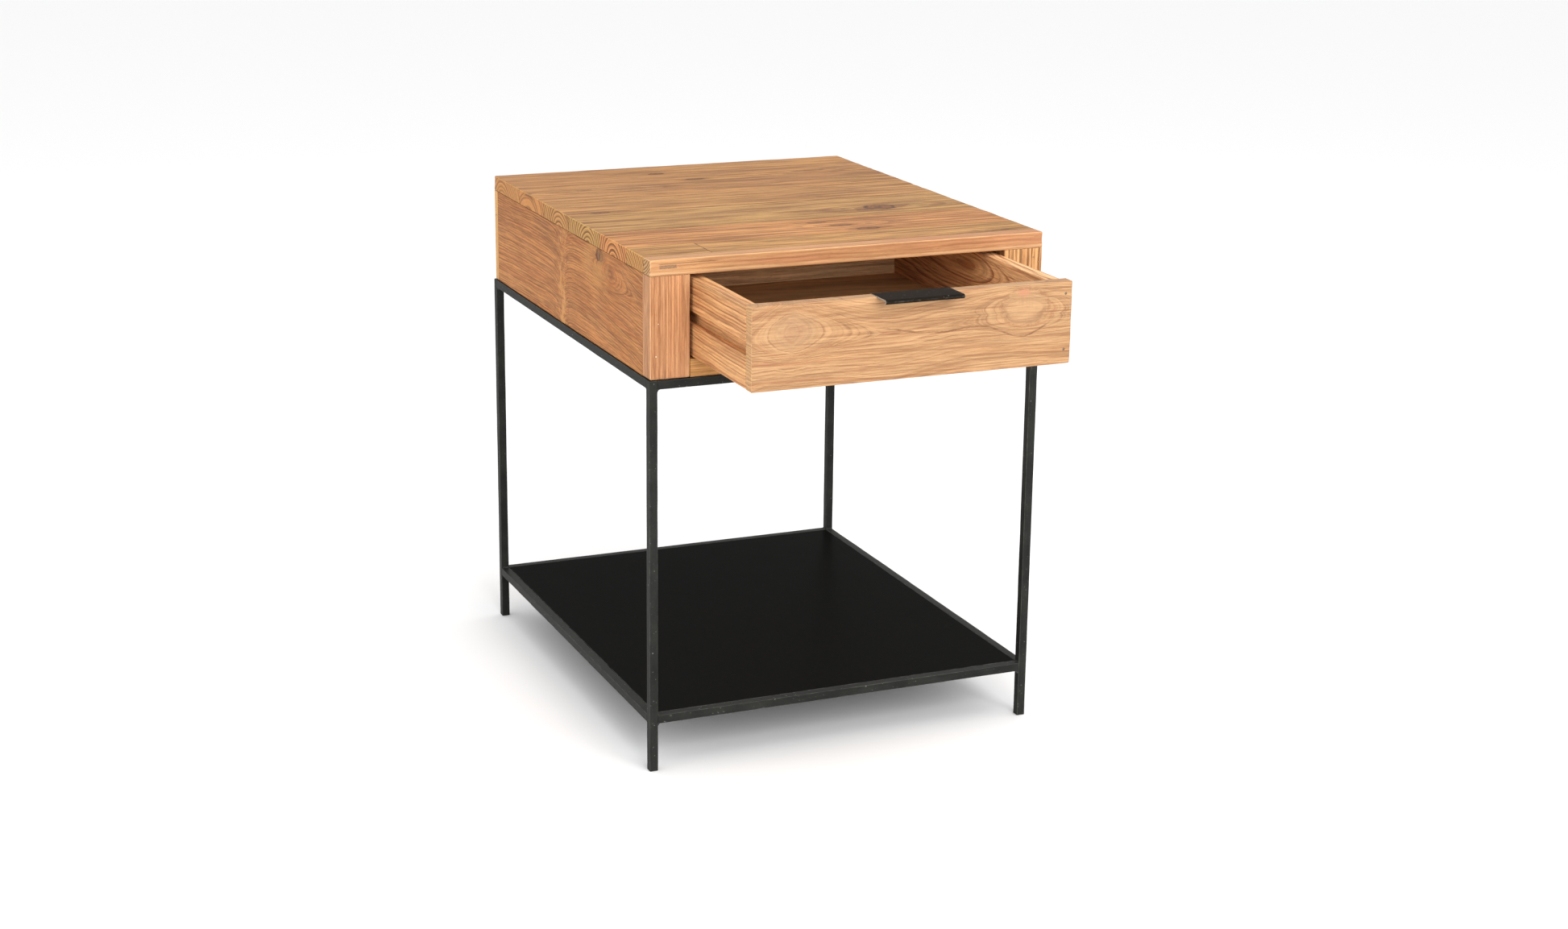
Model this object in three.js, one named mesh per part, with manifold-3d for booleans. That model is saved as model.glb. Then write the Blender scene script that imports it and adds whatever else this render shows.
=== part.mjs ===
// Side table with one drawer: a low wooden case of solid planks on a slim
// frame of square iron bar, with a sheet-iron shelf near the floor.
// Millimetres, +Z up, +X to the right as seen from the front, the drawer
// opens towards -Y. The model stands on z = 0 with its drawer partly open.

import * as THREE from 'three';
import * as BufferGeometryUtils from 'three/addons/utils/BufferGeometryUtils.js';
import Module from 'manifold-3d';

const wasm = await Module();
wasm.setup();

// ---------------------------------------------------------------- dimensions
const GAP = 0.3;                 // clearance between touching pieces

// iron frame
const FRAME_W = 500;             // outside width
const FRAME_D = 600;             // outside depth
const BAR = 10.5;                // square bar
const TABLE_H = 615;
const CASE_H = 139;              // height of the wooden case
const CASE_Z0 = TABLE_H - CASE_H;
const SHELF_Z = 70;              // upper face of the shelf bars
const SHELF_T = 2.5;             // shelf sheet
const TAB_L = 34, TAB_W = 30, TAB_T = 2.5; // fixing tabs under the case

// wooden case
const WX0 = -248, WX1 = 251.5;   // sides of the case
const WY0 = -298, WY1 = 297;     // front and back of the case
const TOP_T = 19;                // top planks
const SIDE_T = 18;               // side panels
const BACK_T = 13;               // back boards
const STILE_T = 24;              // front stiles and rail
const OPEN_X0 = -199.4, OPEN_X1 = 200.9; // drawer opening
const RAIL_TOP = 497.2;          // upper edge of the bottom rail
const BACK_SPLIT = 563.5;        // joint between the two back boards
const STILE_SPLIT = -228.6;      // glue line in the left stile
// top planks, front to back: y of each glue line
const PLANK_Y = [WY0, -220, -128, -12, 86, 188, WY1];
const PLANK_BUTT_X = -165;       // end joint in the front plank
const STRIP_Y = -277;            // back of the strip glued along the front edge

// guides
const GUIDE_TOP = 560;           // guide rails reach from the case bottom to here
const RUNNER_Z0 = 537.4, RUNNER_Z1 = 551.6;
const RUNNER_Y0 = -252, RUNNER_Y1 = 262;
const RUNNER_IN = 189.0;         // inner face of each runner, from x = 0
const STOP_Y = 144.3;            // front face of the closed stops
const STOP_D = 22, STOP_H = 40;

// drawer (closed, its front face is flush with the case front)
const OPEN_DIST = 173;           // how far it is open here
const DR_W = 391.5;
const FRONT_T = 16.5, FRONT_Z0 = 498.5, FRONT_Z1 = 594;
const DS_T = 17, DS_Z0 = 499.3, DS_Z1 = 590.5;
const DR_Y0 = WY0 - OPEN_DIST;               // front face
const DS_Y0 = DR_Y0 + FRONT_T + GAP;         // sides start
const DR_Y1 = -29;                           // back of the drawer
const DB_T = 16;                             // drawer back
const BOT_Z0 = 514, BOT_Z1 = 520;            // drawer bottom
const BOT_IN = 6;                            // depth of its grooves
const GRV_Z0 = 537, GRV_Z1 = 552, GRV_IN = 7.5; // runner grooves

// pull: one bent strip of sheet iron
const PULL_W = 96, PULL_T = 1.5;
const PULL_TOP = 594.5;
const PULL_TIP_Y = -494.3;
const PULL_LEG_Z = 572.5;
const PULL_LIP = 5.0;
const PULL_SCREW_X = 32, PULL_SCREW_Z = 581.5;

// the model's origin is the middle of its footprint with the drawer as drawn
const SHIFT = [-(WX1 - FRAME_W / 2) / 2, -(FRAME_D / 2 + PULL_TIP_Y) / 2, 0];

// ----------------------------------------------------------------- materials
const std = (color, roughness, metalness) =>
  new THREE.MeshStandardMaterial({ color, roughness, metalness });
const M = {
  top: std(0xc08f5c, 0.62, 0),
  side: std(0xb97d4c, 0.62, 0),
  front: std(0xd2a06a, 0.62, 0),
  inner: std(0xa97b50, 0.7, 0),
  bottom: std(0x7a5636, 0.75, 0),
  hidden: std(0xb18a60, 0.8, 0),
  iron: std(0x1c1e1e, 0.45, 0.6),
  sheet: std(0x17191a, 0.3, 0.6),
  pull: std(0x1b1d1e, 0.42, 0.6),
  screw: std(0x8d8a84, 0.4, 0.9),
};

const table = new THREE.Group();
table.position.set(...SHIFT);
const frame = new THREE.Group();
const woodCase = new THREE.Group();
const drawer = new THREE.Group();
table.add(frame, woodCase, drawer);

// ------------------------------------------------------------------- helpers
// a board or bar given by its two corners
function block(parent, name, lo, hi, mat) {
  const s = [0, 1, 2].map((i) => hi[i] - lo[i]);
  const mesh = new THREE.Mesh(new THREE.BoxGeometry(...s), mat);
  mesh.name = name;
  mesh.position.set(...[0, 1, 2].map((i) => (lo[i] + hi[i]) / 2));
  parent.add(mesh);
  return mesh;
}

function toSolid(geometry) {
  const g = geometry.clone();
  g.deleteAttribute('normal');
  g.deleteAttribute('uv');
  const m = BufferGeometryUtils.mergeVertices(g, 1e-5);
  return new wasm.Manifold(new wasm.Mesh({
    numProp: 3,
    vertProperties: new Float32Array(m.attributes.position.array),
    triVerts: new Uint32Array(m.index.array),
  }));
}

function fromSolid(solid) {
  const r = solid.getMesh();
  const g = new THREE.BufferGeometry();
  g.setAttribute('position', new THREE.BufferAttribute(new Float32Array(r.vertProperties), 3));
  g.setIndex(new THREE.BufferAttribute(new Uint32Array(r.triVerts), 1));
  return g;
}

function boxSolid(lo, hi) {
  const s = [0, 1, 2].map((i) => hi[i] - lo[i]);
  const g = new THREE.BoxGeometry(...s);
  g.translate(...[0, 1, 2].map((i) => (lo[i] + hi[i]) / 2));
  return toSolid(g);
}

// a solid of revolution about `axis` through `at`; the profile is [radius, along]
function turned(profile, at, axis, segments = 20) {
  const g = new THREE.LatheGeometry(profile.map(([r, a]) => new THREE.Vector2(r, a)), segments);
  const q = new THREE.Quaternion().setFromUnitVectors(
    new THREE.Vector3(0, 1, 0), new THREE.Vector3(...axis));
  g.applyQuaternion(q);
  g.translate(...at);
  return g;
}

function cut(parent, name, lo, hi, tools, mat) {
  let s = boxSolid(lo, hi);
  for (const t of tools) s = s.subtract(t);
  const mesh = new THREE.Mesh(fromSolid(s), mat);
  mesh.name = name;
  parent.add(mesh);
  return mesh;
}

// plain hole: a cylinder from `at` along `axis`
const hole = (r, length, at, axis, segments = 20) =>
  toSolid(turned([[0, 0], [r, 0], [r, length], [0, length]], at, axis, segments));

// countersunk hole seen from the side the screw goes in
const sunkHole = (r, rHead, length, at, axis) =>
  toSolid(turned([[0, -1], [rHead, -1], [rHead, 0.9], [r, 0.9 + rHead - r], [r, length], [0, length]], at, axis));

// round-headed screw: the head rests on the plane through `at`
function panScrew(parent, name, at, axis, rHead, rShank, length) {
  const prof = [
    [0, -0.62 * rHead], [0.5 * rHead, -0.56 * rHead], [0.85 * rHead, -0.36 * rHead],
    [rHead, -0.08 * rHead], [rHead, 0], [rShank, 0],
    [rShank, length - 3], [0, length],
  ];
  let s = toSolid(turned(prof, at, axis, 20));
  // cross recess, as two short slots in the head
  const a = new THREE.Vector3(...axis);
  const u = Math.abs(a.z) > 0.9 ? new THREE.Vector3(1, 0, 0) : new THREE.Vector3(0, 0, 1);
  const v = new THREE.Vector3().crossVectors(a, u);
  for (const [p, q] of [[u, v], [v, u]]) {
    const g = new THREE.BoxGeometry(1.1 * rHead, 0.26 * rHead, 1.0 * rHead);
    g.applyMatrix4(new THREE.Matrix4().makeBasis(p, q, new THREE.Vector3().crossVectors(p, q)));
    g.translate(...[0, 1, 2].map((i) => at[i] - axis[i] * 0.7 * rHead));
    s = s.subtract(toSolid(g));
  }
  const mesh = new THREE.Mesh(fromSolid(s), M.screw);
  mesh.name = name;
  parent.add(mesh);
}

// flat-headed screw, its head flush with the plane through `at`
function sunkScrew(parent, name, at, axis, rHead, rShank, length) {
  const prof = [
    [0, 0.4], [rHead - 0.2, 0.4], [rHead - 0.2, 0.7],
    [rShank, 0.7 + rHead - rShank], [rShank, length - 3], [0, length],
  ];
  let s = toSolid(turned(prof, at, axis, 20));
  const a = new THREE.Vector3(...axis);
  const u = Math.abs(a.z) > 0.9 ? new THREE.Vector3(1, 0, 0) : new THREE.Vector3(0, 0, 1);
  const v = new THREE.Vector3().crossVectors(a, u);
  for (const [p, q] of [[u, v], [v, u]]) {
    const g = new THREE.BoxGeometry(1.1 * rHead, 0.24 * rHead, 1.6);
    g.applyMatrix4(new THREE.Matrix4().makeBasis(p, q, new THREE.Vector3().crossVectors(p, q)));
    g.translate(...[0, 1, 2].map((i) => at[i] + axis[i] * 0.8));
    s = s.subtract(toSolid(g));
  }
  const mesh = new THREE.Mesh(fromSolid(s), M.screw);
  mesh.name = name;
  parent.add(mesh);
}

// ---------------------------------------------------------------- iron frame
const fx = FRAME_W / 2, fy = FRAME_D / 2;
const BAR_TOP = CASE_Z0 - GAP;   // the case rests on the upper bars
const sides = [['left', -1], ['right', 1]];
const ends = [['front', -1], ['back', 1]];
const span = (s, a, b) => (s < 0 ? [-b, -a] : [a, b]);

for (const [en, es] of ends) {
  for (const [sn, ss] of sides) {
    const [x0, x1] = span(ss, fx - BAR, fx);
    const [y0, y1] = span(es, fy - BAR, fy);
    block(frame, `leg_${en}_${sn}`, [x0, y0, 0], [x1, y1, BAR_TOP], M.iron);
  }
}
for (const [level, z1] of [['top', BAR_TOP], ['shelf', SHELF_Z]]) {
  for (const [en, es] of ends) {
    const [y0, y1] = span(es, fy - BAR, fy);
    block(frame, `${level}_bar_${en}`, [-fx + BAR + GAP, y0, z1 - BAR], [fx - BAR - GAP, y1, z1], M.iron);
  }
  for (const [sn, ss] of sides) {
    const [x0, x1] = span(ss, fx - BAR, fx);
    block(frame, `${level}_bar_${sn}`, [x0, -fy + BAR + GAP, z1 - BAR], [x1, fy - BAR - GAP, z1], M.iron);
  }
}
// sheet let in flush between the shelf bars
block(frame, 'shelf_sheet',
  [-fx + BAR + GAP, -fy + BAR + GAP, SHELF_Z - SHELF_T],
  [fx - BAR - GAP, fy - BAR - GAP, SHELF_Z], M.sheet);

// fixing tabs welded inside the upper side bars, and the screws that hold
// the case down on the frame through them
const TAB_Y = 200;
const tabScrewX = fx - BAR - GAP - TAB_L + 12;
for (const [en, es] of ends) {
  for (const [sn, ss] of sides) {
    const [x0, x1] = span(ss, fx - BAR - GAP - TAB_L, fx - BAR - GAP);
    const yc = es * TAB_Y, xc = ss * tabScrewX;
    cut(frame, `fixing_tab_${en}_${sn}`,
      [x0, yc - TAB_W / 2, BAR_TOP - TAB_T], [x1, yc + TAB_W / 2, BAR_TOP],
      [hole(2.6, TAB_T + 2, [xc, yc, BAR_TOP - TAB_T - 1], [0, 0, 1])], M.iron);
    panScrew(frame, `fixing_screw_${en}_${sn}`,
      [xc, yc, BAR_TOP - TAB_T - GAP], [0, 0, 1], 4.0, 2.0, 24);
  }
}

// --------------------------------------------------------------- wooden case
const PANEL_TOP = TABLE_H - TOP_T - GAP;
for (let i = 0; i + 1 < PLANK_Y.length; i++) {
  const y0 = PLANK_Y[i] + (i ? GAP / 2 : 0);
  const y1 = PLANK_Y[i + 1] - (i + 2 < PLANK_Y.length ? GAP / 2 : 0);
  const z = [TABLE_H - TOP_T, TABLE_H];
  if (i === 0) {
    block(woodCase, 'top_front_strip', [WX0, WY0, z[0]], [WX1, STRIP_Y - GAP / 2, z[1]], M.top);
    block(woodCase, 'top_plank_1_left', [WX0, STRIP_Y + GAP / 2, z[0]], [PLANK_BUTT_X - GAP / 2, y1, z[1]], M.top);
    block(woodCase, 'top_plank_1_right', [PLANK_BUTT_X + GAP / 2, STRIP_Y + GAP / 2, z[0]], [WX1, y1, z[1]], M.top);
  } else {
    block(woodCase, `top_plank_${i + 1}`, [WX0, y0, z[0]], [WX1, y1, z[1]], M.top);
  }
}
const SY0 = WY0 + STILE_T + GAP, SY1 = WY1 - BACK_T - GAP;
const inL = WX0 + SIDE_T, inR = WX1 - SIDE_T;

// guide rails: hold the runners out to the line of the opening
const railL = [inL + GAP, OPEN_X0], railR = [OPEN_X1, inR - GAP];
const GUIDE_SCREW_Y = [-190, 190];
const RUNNER_SCREW_Y = [-170, 200];
const runnerZ = (RUNNER_Z0 + RUNNER_Z1) / 2;

for (const [sn, ss, x0, x1] of [['left', -1, WX0, inL], ['right', 1, inR, WX1]]) {
  block(woodCase, `side_panel_${sn}`, [x0, SY0, CASE_Z0], [x1, SY1, PANEL_TOP], M.side);
}
block(woodCase, 'back_board_upper', [WX0, WY1 - BACK_T, BACK_SPLIT + GAP], [WX1, WY1, PANEL_TOP], M.side);
block(woodCase, 'back_board_lower', [WX0, WY1 - BACK_T, CASE_Z0], [WX1, WY1, BACK_SPLIT], M.side);
block(woodCase, 'front_stile_left_outer', [WX0, WY0, CASE_Z0], [STILE_SPLIT - GAP / 2, WY0 + STILE_T, PANEL_TOP], M.front);
block(woodCase, 'front_stile_left_inner', [STILE_SPLIT + GAP / 2, WY0, CASE_Z0], [OPEN_X0, WY0 + STILE_T, PANEL_TOP], M.front);
block(woodCase, 'front_stile_right', [OPEN_X1, WY0, CASE_Z0], [WX1, WY0 + STILE_T, PANEL_TOP], M.front);
block(woodCase, 'bottom_rail', [OPEN_X0 + GAP, WY0, CASE_Z0], [OPEN_X1 - GAP, WY0 + STILE_T, RAIL_TOP], M.front);

for (const [sn, ss, rail] of [['left', -1, railL], ['right', 1, railR]]) {
  const inner = ss < 0 ? rail[1] : rail[0];          // face towards the drawer
  const into = [ss, 0, 0];                            // screws go outwards
  const tabHoles = ends.map(([, es]) =>
    hole(2.5, 24, [ss * tabScrewX, es * TAB_Y, CASE_Z0 - 1], [0, 0, 1]));
  const runnerHoles = RUNNER_SCREW_Y.map((y) =>
    hole(2.1, 17, [inner - ss, y, runnerZ], into));
  cut(woodCase, `guide_rail_${sn}`,
    [rail[0], SY0, CASE_Z0], [rail[1], SY1, GUIDE_TOP], [...tabHoles, ...runnerHoles], M.hidden);
  // runner strip, standing into the groove of the drawer side
  const rx = ss < 0 ? [OPEN_X0 + GAP, -RUNNER_IN] : [RUNNER_IN, OPEN_X1 - GAP];
  const face = ss < 0 ? rx[1] : rx[0];
  cut(woodCase, `runner_${sn}`,
    [rx[0], RUNNER_Y0, RUNNER_Z0], [rx[1], RUNNER_Y1, RUNNER_Z1],
    RUNNER_SCREW_Y.map((y) => sunkHole(2.1, 4.1, 14, [face, y, runnerZ], into)), M.hidden);
  ['front', 'back'].forEach((en, i) => {
    sunkScrew(woodCase, `runner_screw_${en}_${sn}`,
      [face, RUNNER_SCREW_Y[i], runnerZ], into, 3.9, 1.75, 24);
  });
  // stop that the drawer side meets when it is closed
  const sx = ss < 0 ? [OPEN_X0 + GAP, -176] : [176, OPEN_X1 - GAP];
  block(woodCase, `drawer_stop_${sn}`,
    [sx[0], STOP_Y, RUNNER_Z0 - GAP - STOP_H], [sx[1], STOP_Y + STOP_D, RUNNER_Z0 - GAP], M.hidden);
}

// -------------------------------------------------------------------- drawer
const dx = DR_W / 2;
const sideIn = dx - DS_T;
const pullScrewY = DR_Y0 + FRONT_T;
const PIN_Z = [515.5, 580];

// front board: notch for the pull, blind groove for the bottom
{
  const tools = [
    boxSolid([-PULL_W / 2 - GAP, DR_Y0 - 1, PULL_TOP - PULL_T - GAP], [PULL_W / 2 + GAP, DR_Y0 + FRONT_T + 1, FRONT_Z1 + 1]),
    boxSolid([-(sideIn + BOT_IN), DR_Y0 + FRONT_T - BOT_IN, BOT_Z0 - GAP], [sideIn + BOT_IN, DR_Y0 + FRONT_T + 1, BOT_Z1 + GAP]),
  ];
  for (const s of [-1, 1]) {
    tools.push(hole(2.1, 12.5, [s * PULL_SCREW_X, pullScrewY + 1, PULL_SCREW_Z], [0, -1, 0]));
    for (const z of PIN_Z) {
      tools.push(hole(1.6, FRONT_T + 2, [s * (dx - DS_T / 2), DR_Y0 - 1, z], [0, 1, 0], 12));
    }
  }
  cut(drawer, 'drawer_front', [-dx, DR_Y0, FRONT_Z0], [dx, DR_Y0 + FRONT_T, FRONT_Z1], tools, M.front);
}
for (const [sn, ss] of sides) {
  const [x0, x1] = span(ss, sideIn, dx);
  const outer = ss < 0 ? [-dx - 1, -dx + GRV_IN] : [dx - GRV_IN, dx + 1];
  const innerG = ss < 0 ? [-sideIn - BOT_IN, -sideIn + 1] : [sideIn - 1, sideIn + BOT_IN];
  const tools = [
    boxSolid([outer[0], DS_Y0 - 1, GRV_Z0], [outer[1], DR_Y1 + 1, GRV_Z1]),
    boxSolid([innerG[0], DS_Y0 - 1, BOT_Z0 - GAP], [innerG[1], DR_Y1 + 1, BOT_Z1 + GAP]),
  ];
  for (const z of PIN_Z) {
    tools.push(hole(1.6, 26, [ss * (dx - DS_T / 2), DS_Y0 - 1, z], [0, 1, 0], 12));
  }
  cut(drawer, `drawer_side_${sn}`, [x0, DS_Y0, DS_Z0], [x1, DR_Y1, DS_Z1], tools, M.inner);
  // headless pins through the front board into the end of the side
  PIN_Z.forEach((z, i) => {
    const pin = new THREE.Mesh(
      turned([[0, 0.8], [1.3, 0.8], [1.3, 38], [0, 40]], [ss * (dx - DS_T / 2), DR_Y0, z], [0, 1, 0], 10), M.screw);
    pin.name = `drawer_pin_${i ? 'upper' : 'lower'}_${sn}`;
    drawer.add(pin);
  });
}
block(drawer, 'drawer_back',
  [-sideIn + GAP, DR_Y1 - DB_T, BOT_Z1 + GAP], [sideIn - GAP, DR_Y1, DS_Z1], M.inner);
block(drawer, 'drawer_bottom',
  [-(sideIn + BOT_IN - GAP), DR_Y0 + FRONT_T - BOT_IN + GAP, BOT_Z0], [sideIn + BOT_IN - GAP, DR_Y1, BOT_Z1], M.bottom);

// pull: a leg screwed behind the front board, a flat top let into the notch,
// and an overhanging lip turned down and back under itself
{
  const yb = DR_Y0 + FRONT_T + GAP + PULL_T;   // inner face of the leg
  const t = PULL_T, R = 2.2, z1 = PULL_TOP, yt = PULL_TIP_Y;
  const pts = [];
  const arc = (cy, cz, r, a0, a1, n) => {
    for (let i = 0; i <= n; i++) {
      const a = (a0 + (a1 - a0) * i / n) * Math.PI / 180;
      pts.push([cy + r * Math.cos(a), cz + r * Math.sin(a)]);
    }
  };
  // outside of the profile, from the foot of the leg over the top to the lip
  pts.push([yb, PULL_LEG_Z]);
  arc(yb - R, z1 - R, R, 0, 90, 5);
  arc(yt + R, z1 - R, R, 90, 180, 5);
  arc(yt + 1.6, z1 - PULL_LIP + 1.6, 1.6, 180, 270, 3);
  pts.push([yt + 4.2, z1 - PULL_LIP]);
  // and back along the inside
  pts.push([yt + 4.2, z1 - PULL_LIP + 1.0]);
  pts.push([yt + t + 0.5, z1 - PULL_LIP + 1.0]);
  pts.push([yt + t, z1 - PULL_LIP + 1.6]);
  arc(yt + R, z1 - R, R - t, 180, 90, 3);
  arc(yb - R, z1 - R, R - t, 90, 0, 3);
  pts.push([yb - t, PULL_LEG_Z]);
  const shape = new THREE.Shape(pts.map(([y, z]) => new THREE.Vector2(y, z)));
  const g = new THREE.ExtrudeGeometry(shape, { depth: PULL_W, bevelEnabled: false });
  // the profile is drawn in (y, z) and swept along x
  g.applyMatrix4(new THREE.Matrix4().makeBasis(
    new THREE.Vector3(0, 1, 0), new THREE.Vector3(0, 0, 1), new THREE.Vector3(1, 0, 0)));
  g.translate(-PULL_W / 2, 0, 0);
  let s = toSolid(g);
  for (const sx of [-1, 1]) {
    s = s.subtract(hole(2.1, 6, [sx * PULL_SCREW_X, yb + 2, PULL_SCREW_Z], [0, -1, 0]));
    panScrew(drawer, `pull_screw_${sx < 0 ? 'left' : 'right'}`,
      [sx * PULL_SCREW_X, yb + GAP, PULL_SCREW_Z], [0, -1, 0], 3.4, 1.7, 12);
  }
  const mesh = new THREE.Mesh(fromSolid(s), M.pull);
  mesh.name = 'drawer_pull';
  drawer.add(mesh);
}

export default table;
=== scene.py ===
import math
import random

import bmesh
import bpy
import numpy as np
from mathutils import Matrix, Vector, noise


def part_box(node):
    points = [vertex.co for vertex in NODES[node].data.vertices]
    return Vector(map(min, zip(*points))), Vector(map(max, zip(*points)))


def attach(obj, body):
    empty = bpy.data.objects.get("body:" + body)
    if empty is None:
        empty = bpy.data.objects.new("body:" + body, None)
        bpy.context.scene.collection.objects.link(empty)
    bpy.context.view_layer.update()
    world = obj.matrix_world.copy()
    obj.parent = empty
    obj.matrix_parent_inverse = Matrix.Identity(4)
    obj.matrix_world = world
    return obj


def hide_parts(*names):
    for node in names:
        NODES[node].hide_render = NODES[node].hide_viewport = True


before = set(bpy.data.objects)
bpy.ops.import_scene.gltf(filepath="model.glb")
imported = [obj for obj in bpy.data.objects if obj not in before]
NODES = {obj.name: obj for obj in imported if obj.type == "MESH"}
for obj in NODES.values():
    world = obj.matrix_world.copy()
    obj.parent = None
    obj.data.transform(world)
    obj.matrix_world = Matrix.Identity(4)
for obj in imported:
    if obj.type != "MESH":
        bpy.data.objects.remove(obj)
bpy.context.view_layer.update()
scene = bpy.context.scene

# ------------------------------------------------------------------ positions
# Everything below is in millimetres from the middle of the iron frame's
# footprint; MM() turns such a point into the row frame in metres.


def raw(node):
    lo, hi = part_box(node)
    return np.array(lo) * 1000.0, np.array(hi) * 1000.0


_a, _b = raw("leg_front_left")[0], raw("leg_back_right")[1]
ORG = np.array([(_a[0] + _b[0]) / 2, (_a[1] + _b[1]) / 2, 0.0])


def box(node):
    lo, hi = raw(node)
    return lo - ORG, hi - ORG


def MM(p):
    return (np.asarray(p, float) + ORG) / 1000.0


# --------------------------------------------------------------------- camera
def make_camera():
    yaw, pitch, roll = 0.4022, 0.2647, 0.0104
    f, cx, cy = 3170.4679, 957.4961, 521.6506
    w, h = 1946.0, 1153.0
    pos = MM((-1219.0205, -2933.3983, 1191.6927))
    s, c = math.sin, math.cos
    fwd = Vector((s(yaw) * c(pitch), c(yaw) * c(pitch), -s(pitch)))
    right = Vector((c(yaw), -s(yaw), 0.0))
    up = right.cross(fwd)
    r2 = c(roll) * right + s(roll) * up
    u2 = -s(roll) * right + c(roll) * up
    rot = Matrix((r2, u2, -fwd)).transposed()
    cam = bpy.data.cameras.new("camera")
    cam.sensor_fit = "HORIZONTAL"
    cam.sensor_width = 36.0
    cam.lens = f / w * 36.0
    cam.shift_x = (w / 2 - cx) / w
    cam.shift_y = (cy - h / 2) / w
    cam.clip_start, cam.clip_end = 0.05, 60.0
    ob = bpy.data.objects.new("camera", cam)
    ob.matrix_world = Matrix.Translation(pos) @ rot.to_4x4()
    scene.collection.objects.link(ob)
    scene.camera = ob


make_camera()


# ------------------------------------------------------------ shader building
class S:
    """A socket in a node tree that can be used in ordinary arithmetic."""

    def __init__(self, g, sock):
        self.g, self.s = g, sock

    def __add__(self, o): return self.g.math("ADD", self, o)
    def __radd__(self, o): return self.g.math("ADD", o, self)
    def __sub__(self, o): return self.g.math("SUBTRACT", self, o)
    def __rsub__(self, o): return self.g.math("SUBTRACT", o, self)
    def __mul__(self, o): return self.g.math("MULTIPLY", self, o)
    def __rmul__(self, o): return self.g.math("MULTIPLY", o, self)
    def __truediv__(self, o): return self.g.math("DIVIDE", self, o)
    def __rtruediv__(self, o): return self.g.math("DIVIDE", o, self)
    def __neg__(self): return self.g.math("MULTIPLY", self, -1.0)


class Graph:
    def __init__(self, name):
        m = bpy.data.materials.new(name)
        m.use_nodes = True
        self.m, self.nt = m, m.node_tree
        self.nt.nodes.clear()
        out = self.nt.nodes.new("ShaderNodeOutputMaterial")
        self.bsdf = self.nt.nodes.new("ShaderNodeBsdfPrincipled")
        self.nt.links.new(self.bsdf.outputs[0], out.inputs["Surface"])
        tc = self.nt.nodes.new("ShaderNodeTexCoord")
        sep = self.nt.nodes.new("ShaderNodeSeparateXYZ")
        self.nt.links.new(tc.outputs["Object"], sep.inputs[0])
        self.x, self.y, self.z = (
            S(self, sep.outputs[i]) * 1000.0 - float(ORG[i]) for i in range(3))
        sn = self.nt.nodes.new("ShaderNodeSeparateXYZ")
        self.nt.links.new(tc.outputs["Normal"], sn.inputs[0])
        self.n = [S(self, sn.outputs[i]) for i in range(3)]

    def put(self, v, sock):
        if isinstance(v, S):
            self.nt.links.new(v.s, sock)
        elif isinstance(v, (tuple, list)):
            v = tuple(v)
            if sock.type == "RGBA" and len(v) == 3:
                v = v + (1.0,)
            sock.default_value = v
        else:
            sock.default_value = v

    def math(self, op, a, b=None, c=None, clamp=False):
        n = self.nt.nodes.new("ShaderNodeMath")
        n.operation, n.use_clamp = op, clamp
        for i, v in enumerate((a, b, c)):
            if v is not None:
                self.put(v, n.inputs[i])
        return S(self, n.outputs[0])

    def vec(self, x, y, z):
        n = self.nt.nodes.new("ShaderNodeCombineXYZ")
        for i, v in enumerate((x, y, z)):
            self.put(v, n.inputs[i])
        return S(self, n.outputs[0])

    def noise(self, x, y, z, detail=2.0, rough=0.5, dist=0.0):
        n = self.nt.nodes.new("ShaderNodeTexNoise")
        n.noise_dimensions = "3D"
        self.put(self.vec(x, y, z), n.inputs["Vector"])
        n.inputs["Scale"].default_value = 1.0
        n.inputs["Detail"].default_value = detail
        n.inputs["Roughness"].default_value = rough
        n.inputs["Distortion"].default_value = dist
        return S(self, n.outputs[0])

    def white(self, w):
        n = self.nt.nodes.new("ShaderNodeTexWhiteNoise")
        n.noise_dimensions = "1D"
        self.put(w, n.inputs["W"])
        return S(self, n.outputs["Value"])

    def smooth(self, x, a, b):
        """0 at a, 1 at b, eased."""
        n = self.nt.nodes.new("ShaderNodeMapRange")
        n.interpolation_type = "SMOOTHSTEP"
        if a > b:
            self.put(x, n.inputs[0])
            for i, v in ((1, b), (2, a), (3, 1.0), (4, 0.0)):
                n.inputs[i].default_value = v
        else:
            self.put(x, n.inputs[0])
            for i, v in ((1, a), (2, b), (3, 0.0), (4, 1.0)):
                n.inputs[i].default_value = v
        return S(self, n.outputs[0])

    def mix(self, f, a, b, blend="MIX"):
        n = self.nt.nodes.new("ShaderNodeMix")
        n.data_type = "RGBA"
        n.blend_type = blend
        n.clamp_factor = True
        self.put(f, n.inputs[0])
        self.put(a, n.inputs[6])
        self.put(b, n.inputs[7])
        return S(self, n.outputs[2])

    def scale_col(self, col, k):
        """Colour times a number."""
        n = self.nt.nodes.new("ShaderNodeVectorMath")
        n.operation = "SCALE"
        self.put(col, n.inputs[0])
        self.put(k, n.inputs["Scale"])
        return S(self, n.outputs[0])

    def attr(self, name):
        n = self.nt.nodes.new("ShaderNodeAttribute")
        n.attribute_type = "GEOMETRY"
        n.attribute_name = name
        return S(self, n.outputs["Fac"])

    def bump(self, height, dist=0.0002, strength=1.0):
        """height in units of dist (metres)."""
        n = self.nt.nodes.new("ShaderNodeBump")
        n.inputs["Strength"].default_value = strength
        n.inputs["Distance"].default_value = dist
        self.put(height, n.inputs["Height"])
        self.nt.links.new(n.outputs[0], self.bsdf.inputs["Normal"])

    def sq(self, a):
        return self.math("MULTIPLY", a, a)

    def root(self, a):
        return self.math("SQRT", a)

    def abs(self, a):
        return self.math("ABSOLUTE", a)


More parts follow.
